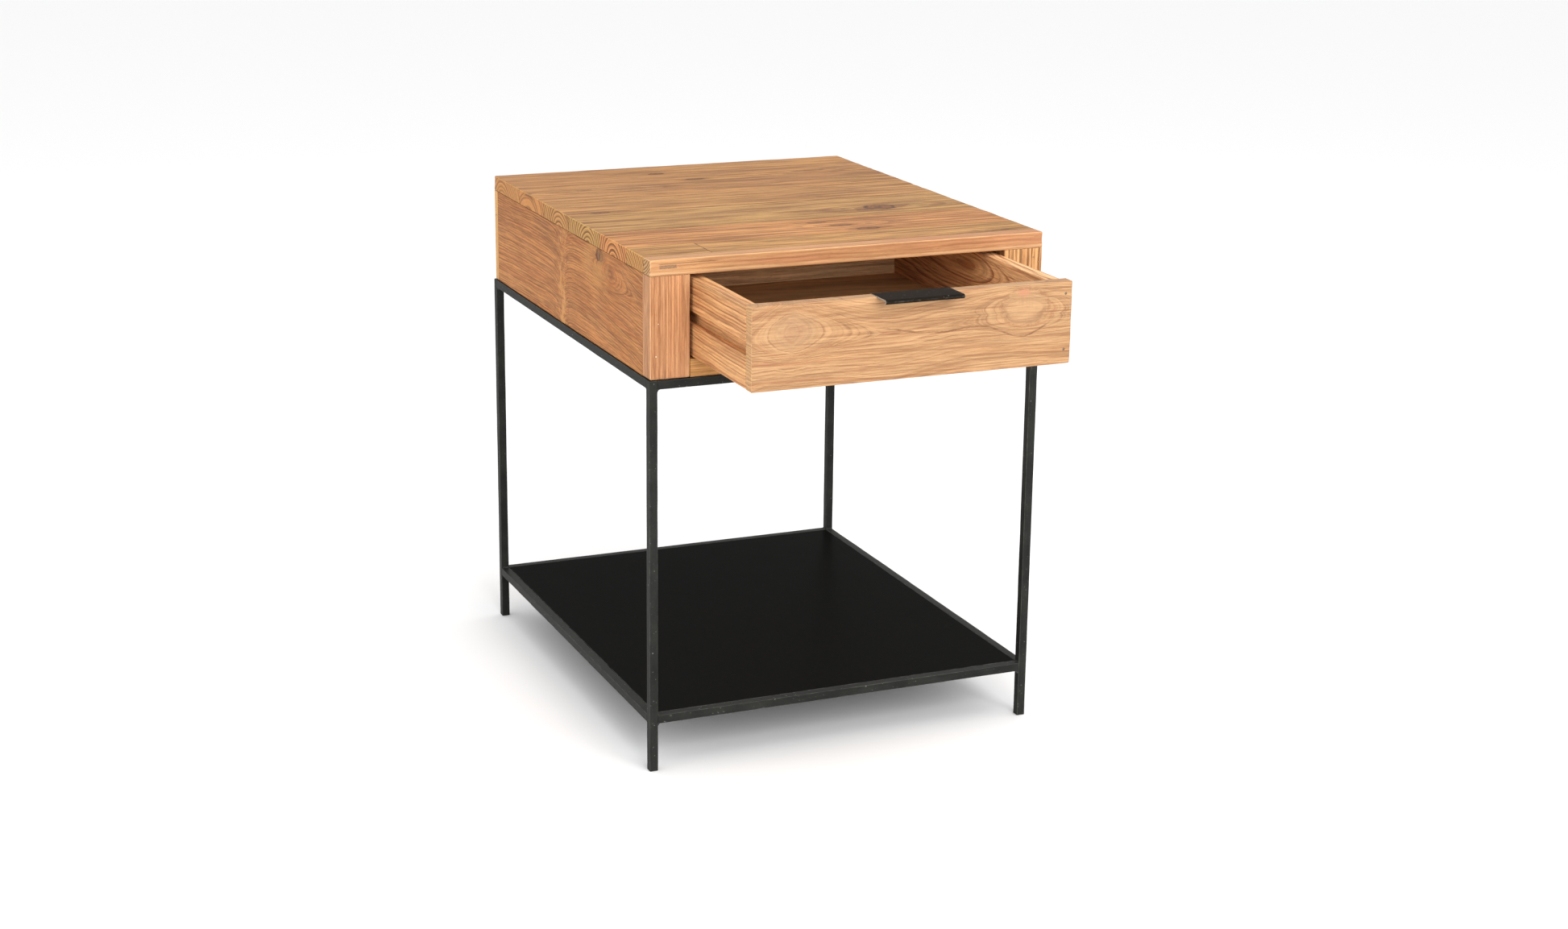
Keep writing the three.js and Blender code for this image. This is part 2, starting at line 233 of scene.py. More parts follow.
# ----------------------------------------------------------------------- wood
# Every board is cut out of a log of its own: growth rings round a pith line
# that runs along the board, warped, and pushed aside by knots.  u runs along
# the grain, v across the board, w through it.
TEAK = dict(
    light=(0.470, 0.262, 0.116), mid=(0.395, 0.205, 0.086), dark=(0.205, 0.090, 0.036),
    red=(0.375, 0.150, 0.062), olive=(0.300, 0.190, 0.088))


def pal(base=TEAK, k=1.0, **kw):
    p = dict(base)
    p.update(kw)
    return {a: tuple(k * c for c in v) for a, v in p.items()}


def wood(name, ax="XYZ", pith=(0.0, -120.0), spacing=3.0, colours=TEAK, seed=0,
         warp=(9.0, 1.3), eyes=(), knots=(), marks=(), line=0.68, fibre=0.36,
         red=0.35, olive=0.3, band=1.0, end_tint=(0.92, 0.96, 0.90), end_line=0.5,
         centre=None, centre_at=None, rough=0.55, edge_gain=0.45, ring_var=1.6, pores=0.9,
         extra=None, tone=1.0, streak=0.40, sharp=0.34, balance=(0.93, 0.84, 0.60), ruffle=0.0,
         bold=None):
    g = Graph(name)
    colours = {k: tuple(q * b for q, b in zip(cc, balance)) for k, cc in colours.items()}
    c = {"X": g.x, "Y": g.y, "Z": g.z}
    u, v, w = (c[a] for a in ax)
    nu = {"X": g.n[0], "Y": g.n[1], "Z": g.n[2]}[ax[0]]
    so = 17.31 * seed + 3.7

    def ns(lu, lv, lw, detail=2.0, rough_=0.5, k=0.0, dist=0.0):
        return g.noise(u / lu + (so + k), v / lv + (so * 0.7 + k), w / lw + (so * 1.3 + k),
                       detail, rough_, dist)

    n1 = ns(190.0, 60.0, 60.0, 2.0, 0.5)
    n2 = ns(48.0, 15.0, 15.0, 2.0, 0.55, 5.0)
    n3 = ns(230.0, 80.0, 80.0, 1.0, 0.5, 9.0)
    # the warp dies away towards a knot, so that its swirl stays round it
    calm, bells = 1.0, []
    for (uk, vk, wk, H, L0, L1, W, *tip) in eyes:
        step = g.math("GREATER_THAN", u, uk)
        if tip:                        # the lines close in straight, to a point
            away = g.math("MAXIMUM", 1.0 - (u - uk) / L1, 0.0)
            along = (g.math("EXPONENT", g.sq((u - uk) / L0) * -1.0) * (1.0 - step)
                     + g.sq(away) * step)
            bell = along * g.math("EXPONENT", g.sq((v - vk) / W) * -1.0)
            bells.append(bell)
            calm = calm * (1.0 - g.root(bell) * 0.9)
            continue
        Lx = step * (L1 - L0) + L0
        e = g.sq((u - uk) / Lx) + g.sq((v - vk) / W)
        bells.append(g.math("EXPONENT", e * -1.0))
        calm = calm * (1.0 - g.math("EXPONENT", e * -0.6) * 0.95)
    v1 = v + (n1 - 0.5) * calm * (2.0 * warp[0]) + (n2 - 0.5) * (2.0 * warp[1])
    if ruffle and bells:
        near = bells[0]
        for b_ in bells[1:]:
            near = g.math("MAXIMUM", near, b_)
        v1 = v1 + (ns(15.0, 9.0, 9.0, 3.0, 0.6, 7.0) - 0.5) * near * (2.0 * ruffle)
    if centre is not None:
        v1 = v1 - centre(g, u, v, w)
    w1 = w + (n3 - 0.5) * calm * (1.4 * warp[0])
    R = g.root(g.sq(v1 - pith[0]) + g.sq(w1 - pith[1]))
    for (uk, vk, wk, H, *_), bell in zip(eyes, bells):
        off = centre_at(uk) if centre_at else 0.0
        rk = math.hypot(vk - off - pith[0], wk - pith[1])
        F = g.sq(R - rk) - bell * (H * H)
        R = g.math("SIGN", F) * g.root(g.abs(F)) + rk
    # uneven ring widths
    wob = g.noise(R / (spacing * 5.0) + so, so, 2.2, 2.0, 0.6)
    t = R / spacing + (wob - 0.5) * ring_var
    ring = g.math("FLOOR", t)
    fr = g.math("FRACT", t)
    rnd = g.white(ring + so)
    late = g.smooth(fr, sharp, 0.90) * g.smooth(fr, 1.0, 0.94)
    early = g.smooth(fr, 0.0, 0.05) * g.smooth(fr, 0.24, 0.06)
    lines = late * (rnd * 0.75 + 0.25)
    # streaks, fibres and pores
    band1 = g.noise(R / 13.0 + so, u / 900.0, 1.0, 3.0, 0.6)
    band2 = g.noise(R / 5.0 + so * 2.0, u / 420.0, 4.0, 3.0, 0.6)
    blot = ns(95.0, 40.0, 40.0, 3.0, 0.55, 13.0)
    fib = ns(26.0, 0.62, 0.62, 3.0, 0.6, 21.0)
    fine = ns(6.0, 0.26, 0.26, 2.0, 0.6, 33.0)
    strk = ns(75.0, 2.1, 2.1, 3.0, 0.62, 41.0)
    wide = g.noise(R / 3.6 + so * 1.7, u / 260.0 + so, v / 60.0, 4.0, 0.66)
    pore = g.smooth(ns(4.6, 0.30, 0.30, 1.0, 0.5, 55.0), 0.655, 0.73)

    col = g.mix(g.smooth(band1, 0.36, 0.64) * band, colours["light"], colours["mid"])
    col = g.mix(g.smooth(band2 + (blot - 0.5) * 0.6, 0.53, 0.72) * red, col, colours["red"])
    col = g.mix(g.smooth(blot + (band1 - 0.5) * 0.7, 0.50, 0.74) * olive, col, colours["olive"])
    col = g.mix(lines * line, col, colours["dark"])
    col = g.mix(early * (rnd * 0.5 + 0.2) * (line * 0.55), col, colours["dark"])
    wd_ = g.smooth(wide, 0.50, 0.70)
    col = g.mix(wd_ * streak, col, colours["dark"])
    col = g.scale_col(col, (fib - 0.5) * (2.2 * fibre) + (strk - 0.5) * (3.0 * fibre)
                      + (wide - 0.5) * (2.4 * streak) * -1.0 + tone)
    col = g.scale_col(col, (fine - 0.5) * (1.1 * fibre) + 1.0)
    pore_k = pore * (early * 0.6 + 0.4) * pores
    col = g.mix(pore_k, col, colours["dark"])
    dash = ns(21.0, 0.95, 0.95, 2.0, 0.6, 61.0)
    col = g.mix(g.smooth(dash, 0.585, 0.70) * (1.25 * fibre), col, colours["dark"])
    col = g.mix(g.smooth(dash, 0.42, 0.30) * (0.9 * fibre), col,
                tuple(min(0.85, 1.25 * q) for q in colours["light"]))

    if bold is not None:               # broad streaks along the board
        b1 = ns(bold[0], bold[1], bold[1], 2.2, 0.55, 17.0)
        b2 = ns(bold[0] * 0.30, bold[1] * 0.45, bold[1] * 0.45, 3.0, 0.6, 19.0)
        col = g.mix(g.smooth(b1, 0.535, 0.66) * (0.85 * bold[2]), col, colours["dark"])
        col = g.mix(g.smooth(b2, 0.57, 0.68) * (0.75 * bold[2]), col,
                    tuple(0.8 * q for q in colours["dark"]))
        col = g.mix(g.smooth(b1, 0.46, 0.34) * (0.7 * bold[2]), col,
                    tuple(min(0.85, 1.28 * q) for q in colours["light"]))

    # end grain is a shade different and shows its rings more
    endf = g.smooth(g.abs(nu), 0.55, 0.85)
    ecol = g.mix(band1, tuple(min(0.85, 1.12 * q) for q in colours["light"]), colours["mid"])
    ecol = g.mix(g.smooth(blot, 0.45, 0.7) * 0.3, ecol, colours["olive"])
    ecol = g.mix(g.smooth(fr, 0.42, 0.10) * 0.55, ecol,
                 tuple(min(0.85, 1.42 * q) for q in colours["light"]))
    arc = g.smooth(fr, 0.42, 0.72) * g.smooth(fr, 1.0, 0.90)
    ecol = g.mix(arc * (rnd * 0.3 + 0.7) * min(1.0, 1.2 * end_line), ecol,
                 tuple(k_ * q for k_, q in zip((0.80, 0.78, 0.75), colours["dark"])))
    ecol = g.scale_col(ecol, (ns(30.0, 1.6, 1.6, 3.0, 0.6, 81.0) - 0.5) * 1.0 + 1.10)
    ecol = g.mix(1.0, ecol, end_tint, "MULTIPLY")
    col = g.mix(endf, col, ecol)

    height = lines * -0.35 + fib * 0.5 + fine * 0.25 + strk * 0.35 - pore_k * 0.9
    for i, (uk, vk, a, b, depth) in enumerate(knots):
        ka = g.noise(u / (a * 0.55) + so + i, v / (b * 0.55), w / 9.0, 2.0, 0.55)
        d = g.root(g.sq((u - uk) / a) + g.sq((v - vk) / b)) + (ka - 0.5) * 0.75
        halo = g.smooth(d, 2.5, 0.95)
        body = g.smooth(d, 1.12, 0.86)
        rim = g.smooth(d, 0.62, 0.95) * g.smooth(d, 1.25, 1.0)
        kr = g.math("FRACT", d * 3.3 + (ka - 0.5) * 0.8)
        krl = g.smooth(kr, 0.35, 0.9) * g.smooth(kr, 1.0, 0.93)
        kc = g.mix(krl * 0.6 + (ka - 0.3) * 0.9, tuple(0.72 * q for q in colours["red"]),
                   tuple(0.42 * q for q in colours["dark"]))
        col = g.mix(halo * (0.34 * depth), col, colours["dark"])
        col = g.mix(body * min(1.0, 0.85 * depth), col, kc)
        dk = tuple(0.42 * q for q in colours["dark"])
        col = g.mix(rim * (0.75 * depth), col, dk)
        pit = g.smooth(d + (ka - 0.5) * 0.6, 0.36, 0.12)
        col = g.mix(pit * (0.8 * depth), col, dk)
        height = height - rim * (0.8 * depth) - pit * (1.6 * depth)
    # cracks and dark seams: (u0, v0, u1, v1, width, strength)
    for i, (u0, v0, u1, v1_, wd, st) in enumerate(marks):
        L = math.hypot(u1 - u0, v1_ - v0)
        ca, sa = (u1 - u0) / L, (v1_ - v0) / L
        wv = (g.noise(u / 14.0 + i * 3.1, v / 9.0, so, 3.0, 0.6) - 0.5) * (wd * 2.4)
        a_ = (u - u0) * ca + (v - v0) * sa
        b_ = (u - u0) * -sa + (v - v0) * ca + wv
        br = g.smooth(g.noise(u / 9.0 + i * 7.7, v / 3.0, so + 4.0, 2.0, 0.5), 0.36, 0.52)
        m_ = (g.smooth(g.abs(b_), wd, wd * 0.25) * g.smooth(a_, -3.0, 5.0)
              * g.smooth(a_, L + 3.0, L - 5.0) * (br * 0.6 + 0.4))
        col = g.mix(m_ * st, col, tuple(0.45 * q for q in colours["dark"]))
        height = height - m_ * (1.3 * st)
    if extra is not None:
        col, height = extra(g, col, height, u, v, w, colours)

    # rubbed arrises: lighter partly as worn wood and partly as a painted highlight along the edges
    ed = g.attr("edge")
    rub_and_highlight = g.smooth(ed + (ns(22.0, 9.0, 9.0, 3.0, 0.6, 71.0) - 0.5) * 0.9, 0.30, 0.95)
    col = g.mix(rub_and_highlight * edge_gain, col, tuple(min(0.85, k_ * q) for k_, q in
                                            zip((1.32, 1.45, 1.6), colours["light"])))
    g.put(col, g.bsdf.inputs["Base Color"])
    g.put((blot - 0.5) * 0.14 + (fib - 0.5) * 0.16 + pore_k * 0.1 - rub_and_highlight * 0.06 + rough,
          g.bsdf.inputs["Roughness"])
    g.bsdf.inputs["Specular IOR Level"].default_value = 0.16
    g.bump(height, 0.00016, 0.85)
    return g.m


# ----------------------------------------------------------------------- iron
def iron(name, base=(0.0155, 0.0160, 0.0148), pale=(0.036, 0.037, 0.032), seed=0, rough=0.46,
         edge_gain=0.55, metallic=0.04, spec=0.045, mottle=0.45, ends_bare=False, ax="Z",
         scratch=0.35, specks=0.5):
    g = Graph(name)
    x, y, z = g.x, g.y, g.z
    so = 9.7 * seed + 1.3
    st = {"X": (60.0, 3.0, 3.0), "Y": (3.0, 60.0, 3.0), "Z": (3.0, 3.0, 60.0)}[ax]
    cloud = g.noise(x / 38.0 + so, y / 38.0, z / 38.0, 4.0, 0.6)
    grainy = g.noise(x / 1.5 + so, y / 1.5, z / 1.5, 3.0, 0.6)
    drawn = g.noise(x / st[0] + so, y / st[1], z / st[2], 4.0, 0.65)
    fleck = g.noise(x / 2.3 + so, y / 2.3 + 9.0, z / 2.3, 1.0, 0.5)
    col = g.mix(g.smooth(cloud, 0.32, 0.72) * mottle + (drawn - 0.45) * 0.5, base, pale)
    col = g.scale_col(col, (grainy - 0.5) * 0.55 + 1.0)
    # edges go pale towards bare metal, partly as worn paint and partly as a painted highlight along the arrises
    ed = g.attr("edge")
    wear_highlight_noise = g.noise(x / 11.0 + so, y / 11.0, z / 11.0, 4.0, 0.65)
    rub_and_highlight = g.smooth(ed + (wear_highlight_noise - 0.5) * 1.1, 0.45, 1.0)
    bare_metal_and_highlight = (0.150, 0.148, 0.138)
    col = g.mix(rub_and_highlight * edge_gain, col, bare_metal_and_highlight)
    sp = g.smooth(fleck, 0.735, 0.79) * specks
    col = g.mix(sp, col, (0.30, 0.29, 0.27))
    # a few fine scratches
    sc_w = g.noise(x / 9.0 + so, y / 9.0, z / 9.0, 2.0, 0.5)
    sc = g.noise((x + y * 0.7) / 0.55 + sc_w * 5.0, (y - x * 0.7) / 22.0, z / 22.0 + so, 1.0, 0.5)
    scr = g.smooth(sc, 0.70, 0.76) * g.smooth(cloud, 0.5, 0.62) * scratch
    col = g.mix(scr, col, bare_metal_and_highlight)
    met = rub_and_highlight * 0.25 + metallic
    rg = (cloud - 0.5) * 0.22 + (grainy - 0.5) * 0.14 + rough - rub_and_highlight * 0.08
    if ends_bare:
        e = g.smooth(g.abs(g.n[0]), 0.6, 0.9)
        cut = g.smooth(g.noise(x / 3.0, y / 0.35, z / 2.4, 3.0, 0.6), 0.2, 0.55)
        col = g.mix(e * (cut * 0.45 + 0.5), col, (0.46, 0.44, 0.41))
        met = met + e * 0.35
    g.put(col, g.bsdf.inputs["Base Color"])
    g.put(rg, g.bsdf.inputs["Roughness"])
    g.put(met, g.bsdf.inputs["Metallic"])
    g.bsdf.inputs["Specular IOR Level"].default_value = spec
    g.bump(grainy * 0.5 + cloud * 0.9 + drawn * 0.35 - scr * 0.8 - rub_and_highlight * 0.2, 0.00012, 0.8)
    return g.m


def steel(name, base=(0.42, 0.41, 0.38), rough=0.36):
    g = Graph(name)
    n1 = g.noise(g.x / 1.1, g.y / 1.1, g.z / 1.1, 3.0, 0.6)
    n2 = g.noise(g.x / 5.0 + 4.0, g.y / 5.0, g.z / 5.0, 3.0, 0.6)
    col = g.mix(g.smooth(n2, 0.4, 0.7) * 0.5, base, tuple(0.55 * q for q in base))
    col = g.scale_col(col, (n1 - 0.5) * 0.4 + 1.0)
    g.put(col, g.bsdf.inputs["Base Color"])
    g.put((n1 - 0.5) * 0.2 + rough, g.bsdf.inputs["Roughness"])
    g.bsdf.inputs["Metallic"].default_value = 0.9
    g.bump(n1, 0.00005, 0.6)
    return g.m


# ------------------------------------------------------------------- geometry
def lattice(lo, hi, a, b, step):
    ks = (0.08, 0.2, 0.36, 0.56, 0.8, 1.1, 1.6)
    c = [lo, hi] + [lo + a * k for k in ks] + [hi - b * k for k in ks]
    p, q = lo + 1.6 * a, hi - 1.6 * b
    n = max(1, int(round((q - p) / step)))
    c += [p + (q - p) * i / n for i in range(n + 1)]
    out = []
    for t in sorted(c):
        if not out or t - out[-1] > 0.02:
            out.append(t)
    out[-1] = hi
    return out


def shell(lo, hi, lines):
    """The skin of a box as a shared-vertex quad grid."""
    n = [len(l) for l in lines]
    idx, verts, faces = {}, [], []

    def vid(i, j, k):
        key = (i, j, k)
        if key not in idx:
            idx[key] = len(verts)
            verts.append((lines[0][i], lines[1][j], lines[2][k]))
        return idx[key]

    for axis in range(3):
        a, b = (axis + 1) % 3, (axis + 2) % 3
        for side in (0, n[axis] - 1):
            for i in range(n[a] - 1):
                for j in range(n[b] - 1):
                    q = []
                    for di, dj in ((0, 0), (1, 0), (1, 1), (0, 1)):
                        key = [0, 0, 0]
                        key[axis], key[a], key[b] = side, i + di, j + dj
                        q.append(vid(*key))
                    faces.append(q if side else q[::-1])
    return np.array(verts, float), faces


def fnoise(p, size, k=0.0):
    return noise.noise(Vector((p[0] / size + k, p[1] / size - k, p[2] / size + 2 * k)))


def rounded(P, lo, hi, joint, r):
    """Moves the skin of the box onto rounded arrises of radius r (per vertex),
    leaving out the sides named in joint, and says which way is out."""
    lo2, hi2 = lo.copy(), hi.copy()
    for i, a in enumerate("xyz"):
        if "-" + a in joint:
            lo2[i] -= 60.0
        if "+" + a in joint:
            hi2[i] += 60.0
    r = r[:, None]
    q = np.clip(P, lo2 + r, hi2 - r)
    d = P - q
    L = np.linalg.norm(d, axis=1)
    m = np.abs(d).max(axis=1)
    k = np.where(L > 1e-9, m / np.maximum(L, 1e-9), 0.0)
    out = np.where(L[:, None] > 1e-9, d / np.maximum(L, 1e-9)[:, None], 0.0)
    s = np.sort(np.abs(d), axis=1)
    e = np.clip(s[:, 1] / r[:, 0], 0, 1)
    return q + d * k[:, None], out, e


def finish_mesh(me, mat, edge=None, sharp=None):
    for p in me.polygons:
        p.use_smooth = True
    if sharp is not None:
        me.set_sharp_from_angle(angle=math.radians(sharp))
    if edge is not None:
        at = me.attributes.new("edge", "FLOAT", "POINT")
        at.data.foreach_set("value", np.asarray(edge, np.float32))
    me.materials.append(mat)


def add_piece(name, verts, faces, mat, body, nodes=(), edge=None, sharp=None):
    me = bpy.data.meshes.new(name)
    me.from_pydata([tuple(v) for v in MM(verts)], [], faces)
    me.update()
    finish_mesh(me, mat, edge, sharp)
    ob = bpy.data.objects.new(name, me)
    scene.collection.objects.link(ob)
    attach(ob, body)
    if nodes:
        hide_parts(*nodes)
    return ob


def edge_of(P, lo, hi, r):
    d = np.minimum(P - lo, hi - P)
    s = np.sort(d, axis=1)
    return np.clip(1.0 - s[:, 1] / r, 0, 1)


def board(name, lo, hi, mat, body="table", nodes=(), joint="", r=1.4,
          step=(22.0, 22.0, 9.0), zlow=1.0, wave=0.10, seed=0, chips=0, var=0.45, seam=0.3,
          cutters=()):
    lo, hi = np.asarray(lo, float), np.asarray(hi, float)
    ra = [[r, r] for _ in range(3)]
    for i, a in enumerate("xyz"):
        if "-" + a in joint:
            ra[i][0] = seam
        if "+" + a in joint:
            ra[i][1] = seam
    lines = [lattice(lo[i], hi[i], ra[i][0], ra[i][1], step[i]) for i in range(3)]
    P, faces = shell(lo, hi, lines)
    rng = random.Random(1000 + seed)
    if seam and joint:
        P, _, _ = rounded(P, lo, hi, "", np.full(len(P), seam))
    rr = np.array([r * (1.0 + var * 1.6 * fnoise(p, 26.0, seed * 3.3)
                        + var * 0.5 * fnoise(p, 6.0, seed)) for p in P])
    for _ in range(chips):
        i = rng.randrange(3)
        c = np.array([rng.choice((lo[j], hi[j])) for j in range(3)])
        c[i] = rng.uniform(lo[i], hi[i])
        d2 = ((P - c) ** 2).sum(axis=1)
        rr += r * rng.uniform(0.5, 1.3) * np.exp(-d2 / rng.uniform(6.0, 40.0))
    if zlow != 1.0:
        mid = (lo[2] + hi[2]) / 2
        rr = np.where(P[:, 2] < mid, rr * zlow, rr)
    rr = np.clip(rr, 0.12, 1.6 * r)
    half = 0.49 * float((hi - lo).min())
    rr = np.minimum(rr, half)
    P, out, e = rounded(P, lo, hi, joint, rr)
    if wave:
        a = np.array([0.5 + 0.5 * fnoise(p, 47.0) + 0.35 * fnoise(p, 13.0, 1.0) for p in P])
        P = P - out * (wave * np.clip(a, 0.0, 1.3))[:, None]
    ob = add_piece(name, P, faces, mat, body, nodes, e)
    if cutters:
        carve(ob, cutters)
        me = ob.data
        co = np.empty(len(me.vertices) * 3, np.float32)
        me.vertices.foreach_get("co", co)
        Q = co.reshape(-1, 3) * 1000.0 - ORG
        if "edge" in me.attributes:
            me.attributes.remove(me.attributes["edge"])
        at = me.attributes.new("edge", "FLOAT", "POINT")
        at.data.foreach_set("value", edge_of(Q, lo, hi, r).astype(np.float32))
        for p in me.polygons:
            p.use_smooth = True
        me.set_sharp_from_angle(angle=math.radians(38))
    return ob


def carve(ob, cutters):
    """Boolean difference of boxes (lo, hi) and round holes (centre, axis, radius, half)."""
    bm = bmesh.new()
    for kind, *a in cutters:
        if kind == "box":
            lo, hi = MM(a[0]), MM(a[1])
            m = Matrix.Translation((lo + hi) / 2) @ Matrix.Diagonal((*(hi - lo), 1.0))
            bmesh.ops.create_cube(bm, size=1.0, matrix=m)
        else:
            c, axis, rad, half = a
            rotm = Vector((0, 0, 1)).rotation_difference(Vector(axis)).to_matrix().to_4x4()
            bmesh.ops.create_cone(bm, cap_ends=True, segments=20, radius1=rad / 1000, radius2=rad / 1000,
                                  depth=2 * half / 1000, matrix=Matrix.Translation(MM(c)) @ rotm)
    me = bpy.data.meshes.new("cutter")
    bm.to_mesh(me)
    bm.free()
    co = bpy.data.objects.new("cutter", me)
    scene.collection.objects.link(co)
    md = ob.modifiers.new("cut", "BOOLEAN")
    md.operation, md.solver, md.object = "DIFFERENCE", "EXACT", co
    dg = bpy.context.evaluated_depsgraph_get()
    new = bpy.data.meshes.new_from_object(ob.evaluated_get(dg), preserve_all_data_layers=True, depsgraph=dg)
    ob.modifiers.clear()
    old = ob.data
    ob.data = new
    bpy.data.meshes.remove(old)
    bpy.data.objects.remove(co)
    bpy.data.meshes.remove(me)


# --------------------------------------------------------------- top planks
def filled_slot(g, col, height, u, v, w, colours):
    """An old slot in the front edge, filled with grey-brown putty."""
    n = (g.noise(g.x / 3.0, g.y / 3.0, g.z / 2.0, 2.0, 0.6) - 0.5) * 1.6
    mx = g.smooth(g.x + n, -237.0, -235.4) * g.smooth(g.x + n, -215.0, -216.6)
    mz = g.smooth(g.z + n * 0.4, 603.7, 604.4) * g.smooth(g.z + n * 0.4, 608.5, 607.8)
    m = mx * mz * g.smooth(g.y, -292.0, -294.0)
    f = g.noise(g.x / 2.0, g.y, g.z / 0.9, 3.0, 0.6)
    fill = g.mix(g.smooth(f, 0.35, 0.65), (0.185, 0.108, 0.062), (0.30, 0.175, 0.098))
    col = g.mix(m * 0.88, col, fill)
    # a hairline runs on from the slot, and a paler line lies low on the face
    hair = (g.smooth(g.abs(g.z - 609.6 + n * 0.3), 0.9, 0.2) * g.smooth(g.x, -240.0, -234.0)
            * g.smooth(g.x, -160.0, -172.0) * g.smooth(g.y, -290.0, -292.0))
    pale = (g.smooth(g.abs(g.z - 598.8 + n * 0.5), 1.9, 0.6) * g.smooth(g.y, -290.0, -292.0)
            * g.smooth(g.noise(g.x / 60.0, g.z / 3.0, 2.0, 3.0, 0.6), 0.36, 0.6))
    col = g.mix(hair * 0.6, col, (0.10, 0.045, 0.022))
    col = g.mix(pale * 0.45, col, (0.66, 0.43, 0.24))
    return col, height - m * 0.8 - hair * 0.6


SIDE_LIGHT = dict(light=(0.50, 0.275, 0.130), mid=(0.43, 0.200, 0.085), dark=(0.215, 0.085, 0.034),
                  red=(0.40, 0.150, 0.062), olive=(0.36, 0.205, 0.095))

STRIP = dict(light=(0.560, 0.340, 0.185), mid=(0.510, 0.262, 0.146), dark=(0.270, 0.115, 0.062),
             red=(0.480, 0.215, 0.130), olive=(0.44, 0.250, 0.130))
PLANKS = {
    "top_front_strip": dict(pith=(-262.0, 640.0), spacing=3.8, seed=8, warp=(4.0, 1.1), red=0.6,
                            olive=0.1, extra=filled_slot, colours=STRIP, line=0.6, end_line=0.9,
                            end_tint=(0.78, 0.84, 0.74), streak=0.15, edge_gain=0.8, sharp=0.4, fibre=0.22,
                            balance=(0.90, 0.81, 0.66), bold=(70.0, 2.2, 0.30),
                            marks=((-262.0, -291.0, 262.0, -291.0, 0.5, 0.25),)),
    "top_plank_1_left": dict(pith=(-200.0, 560.0), spacing=5.4, seed=1, warp=(5.0, 1.0), red=0.25,
                             olive=0.35, end_line=0.8, end_tint=(1.00, 0.95, 0.86), extra=None,
                             colours=pal(light=(0.49, 0.282, 0.118), mid=(0.42, 0.226, 0.090))),
    "top_plank_1_right": dict(pith=(-330.0, 540.0), spacing=3.0, seed=2, warp=(7.0, 1.2), red=0.4,
                              olive=0.75, marks=((120.0, -275.0, 236.0, -272.0, 1.3, 1.0),
                                                 (186.0, -271.0, 224.0, -269.0, 3.6, 0.8),
                                                 (205.0, -264.0, 236.0, -266.0, 2.0, 0.6)),
                              colours=pal(light=(0.50, 0.285, 0.124), mid=(0.42, 0.224, 0.090))),
    "top_plank_2": dict(pith=(-176.0, 585.0), spacing=5.6, seed=3, warp=(7.0, 1.4), red=0.6, olive=0.2,
                        eyes=((40.7, -175.1, 615, 12, 30, 40, 14), (64.8, -204.5, 615, 8, 22, 30, 10)),
                        knots=((40.7, -178.0, 13.0, 5.0, 0.7), (64.8, -206.0, 15.0, 5.5, 1.1),
                               (20.5, -152.0, 12.0, 4.5, 0.7)),
                        marks=((-246.0, -183.0, -150.0, -181.0, 0.9, 0.6),
                               (10.0, -144.0, 222.0, -143.5, 1.3, 0.5)),
                        end_line=0.8, end_tint=(1.02, 0.91, 0.82),
                        colours=pal(light=(0.53, 0.270, 0.122), mid=(0.445, 0.200, 0.085))),
    "top_plank_3": dict(pith=(-84.0, 585.0), spacing=6.2, seed=4, warp=(6.0, 1.2), red=0.15, olive=0.55,
                        eyes=((136.0, -84.2, 615, 21, 75, 85, 26),),
                        knots=((136.0, -84.2, 19.0, 14.0, 1.25), (112.0, -95.0, 11.0, 5.0, 0.7), (168.0, -78.0, 12.0, 4.0, 0.5)),
                        marks=((-246.0, -128.0, -187.0, -119.0, 1.5, 0.55),
                               (-187.0, -119.0, -86.0, -130.0, 1.5, 0.5),
                               (-238.0, -75.0, 35.0, -86.0, 1.0, 0.4)),
                        end_line=0.85, end_tint=(0.96, 0.95, 0.84),
                        colours=pal(light=(0.46, 0.280, 0.122), mid=(0.40, 0.228, 0.096))),
    "top_plank_4": dict(pith=(22.0, 578.0), spacing=5.6, seed=5, warp=(6.0, 1.3), red=0.45, olive=0.35,
                        eyes=((-203.8, -2.7, 615, 9, 26, 34, 12),),
                        knots=((-203.8, -3.5, 11.0, 4.5, 1.1),), end_line=0.8,
                        marks=((-239.0, -17.0, -98.0, -22.0, 0.9, 0.5), (-98.0, -22.0, 57.0, -35.0, 0.9, 0.45),
                               (-160.0, 38.0, 92.0, 43.0, 1.0, 0.45)),
                        end_tint=(0.98, 0.93, 0.84),
                        colours=pal(light=(0.465, 0.262, 0.115), mid=(0.40, 0.210, 0.087))),
    "top_plank_5": dict(pith=(150.0, 566.0), spacing=5.6, seed=6, warp=(9.0, 1.7), red=0.5, olive=0.5,
                        eyes=((-165.0, 146.0, 615, 14, 55, 70, 18), (-6.5, 182.0, 615, 6, 18, 18, 8),
                              (162.0, 186.0, 615, 16, 50, 60, 18)),
                        knots=((-6.5, 184.0, 12.0, 4.0, 1.2), (-172.0, 152.0, 10.0, 3.5, 0.5)),
                        end_line=0.6, end_tint=(1.02, 0.90, 0.80),
                        colours=pal(light=(0.445, 0.240, 0.104), mid=(0.38, 0.186, 0.077))),
    "top_plank_6": dict(pith=(262.0, 572.0), spacing=5.6, seed=7, warp=(9.0, 1.6), red=0.45, olive=0.4,
                        eyes=((162.2, 196.4, 615, 13, 48, 60, 16), (-41.5, 238.2, 615, 7, 20, 20, 9)),
                        knots=((-41.5, 238.2, 10.0, 5.0, 1.2), (162.2, 197.0, 22.0, 4.5, 0.6),
                               (196.0, 204.0, 12.0, 3.5, 0.5)),
                        end_line=0.45, end_tint=(1.04, 0.97, 0.88),
                        colours=pal(light=(0.44, 0.236, 0.100), mid=(0.37, 0.182, 0.076))),
}
JOINTS = {"top_front_strip": "+y", "top_plank_1_left": "+x-y+y", "top_plank_1_right": "-x-y+y",
          "top_plank_6": "-y"}


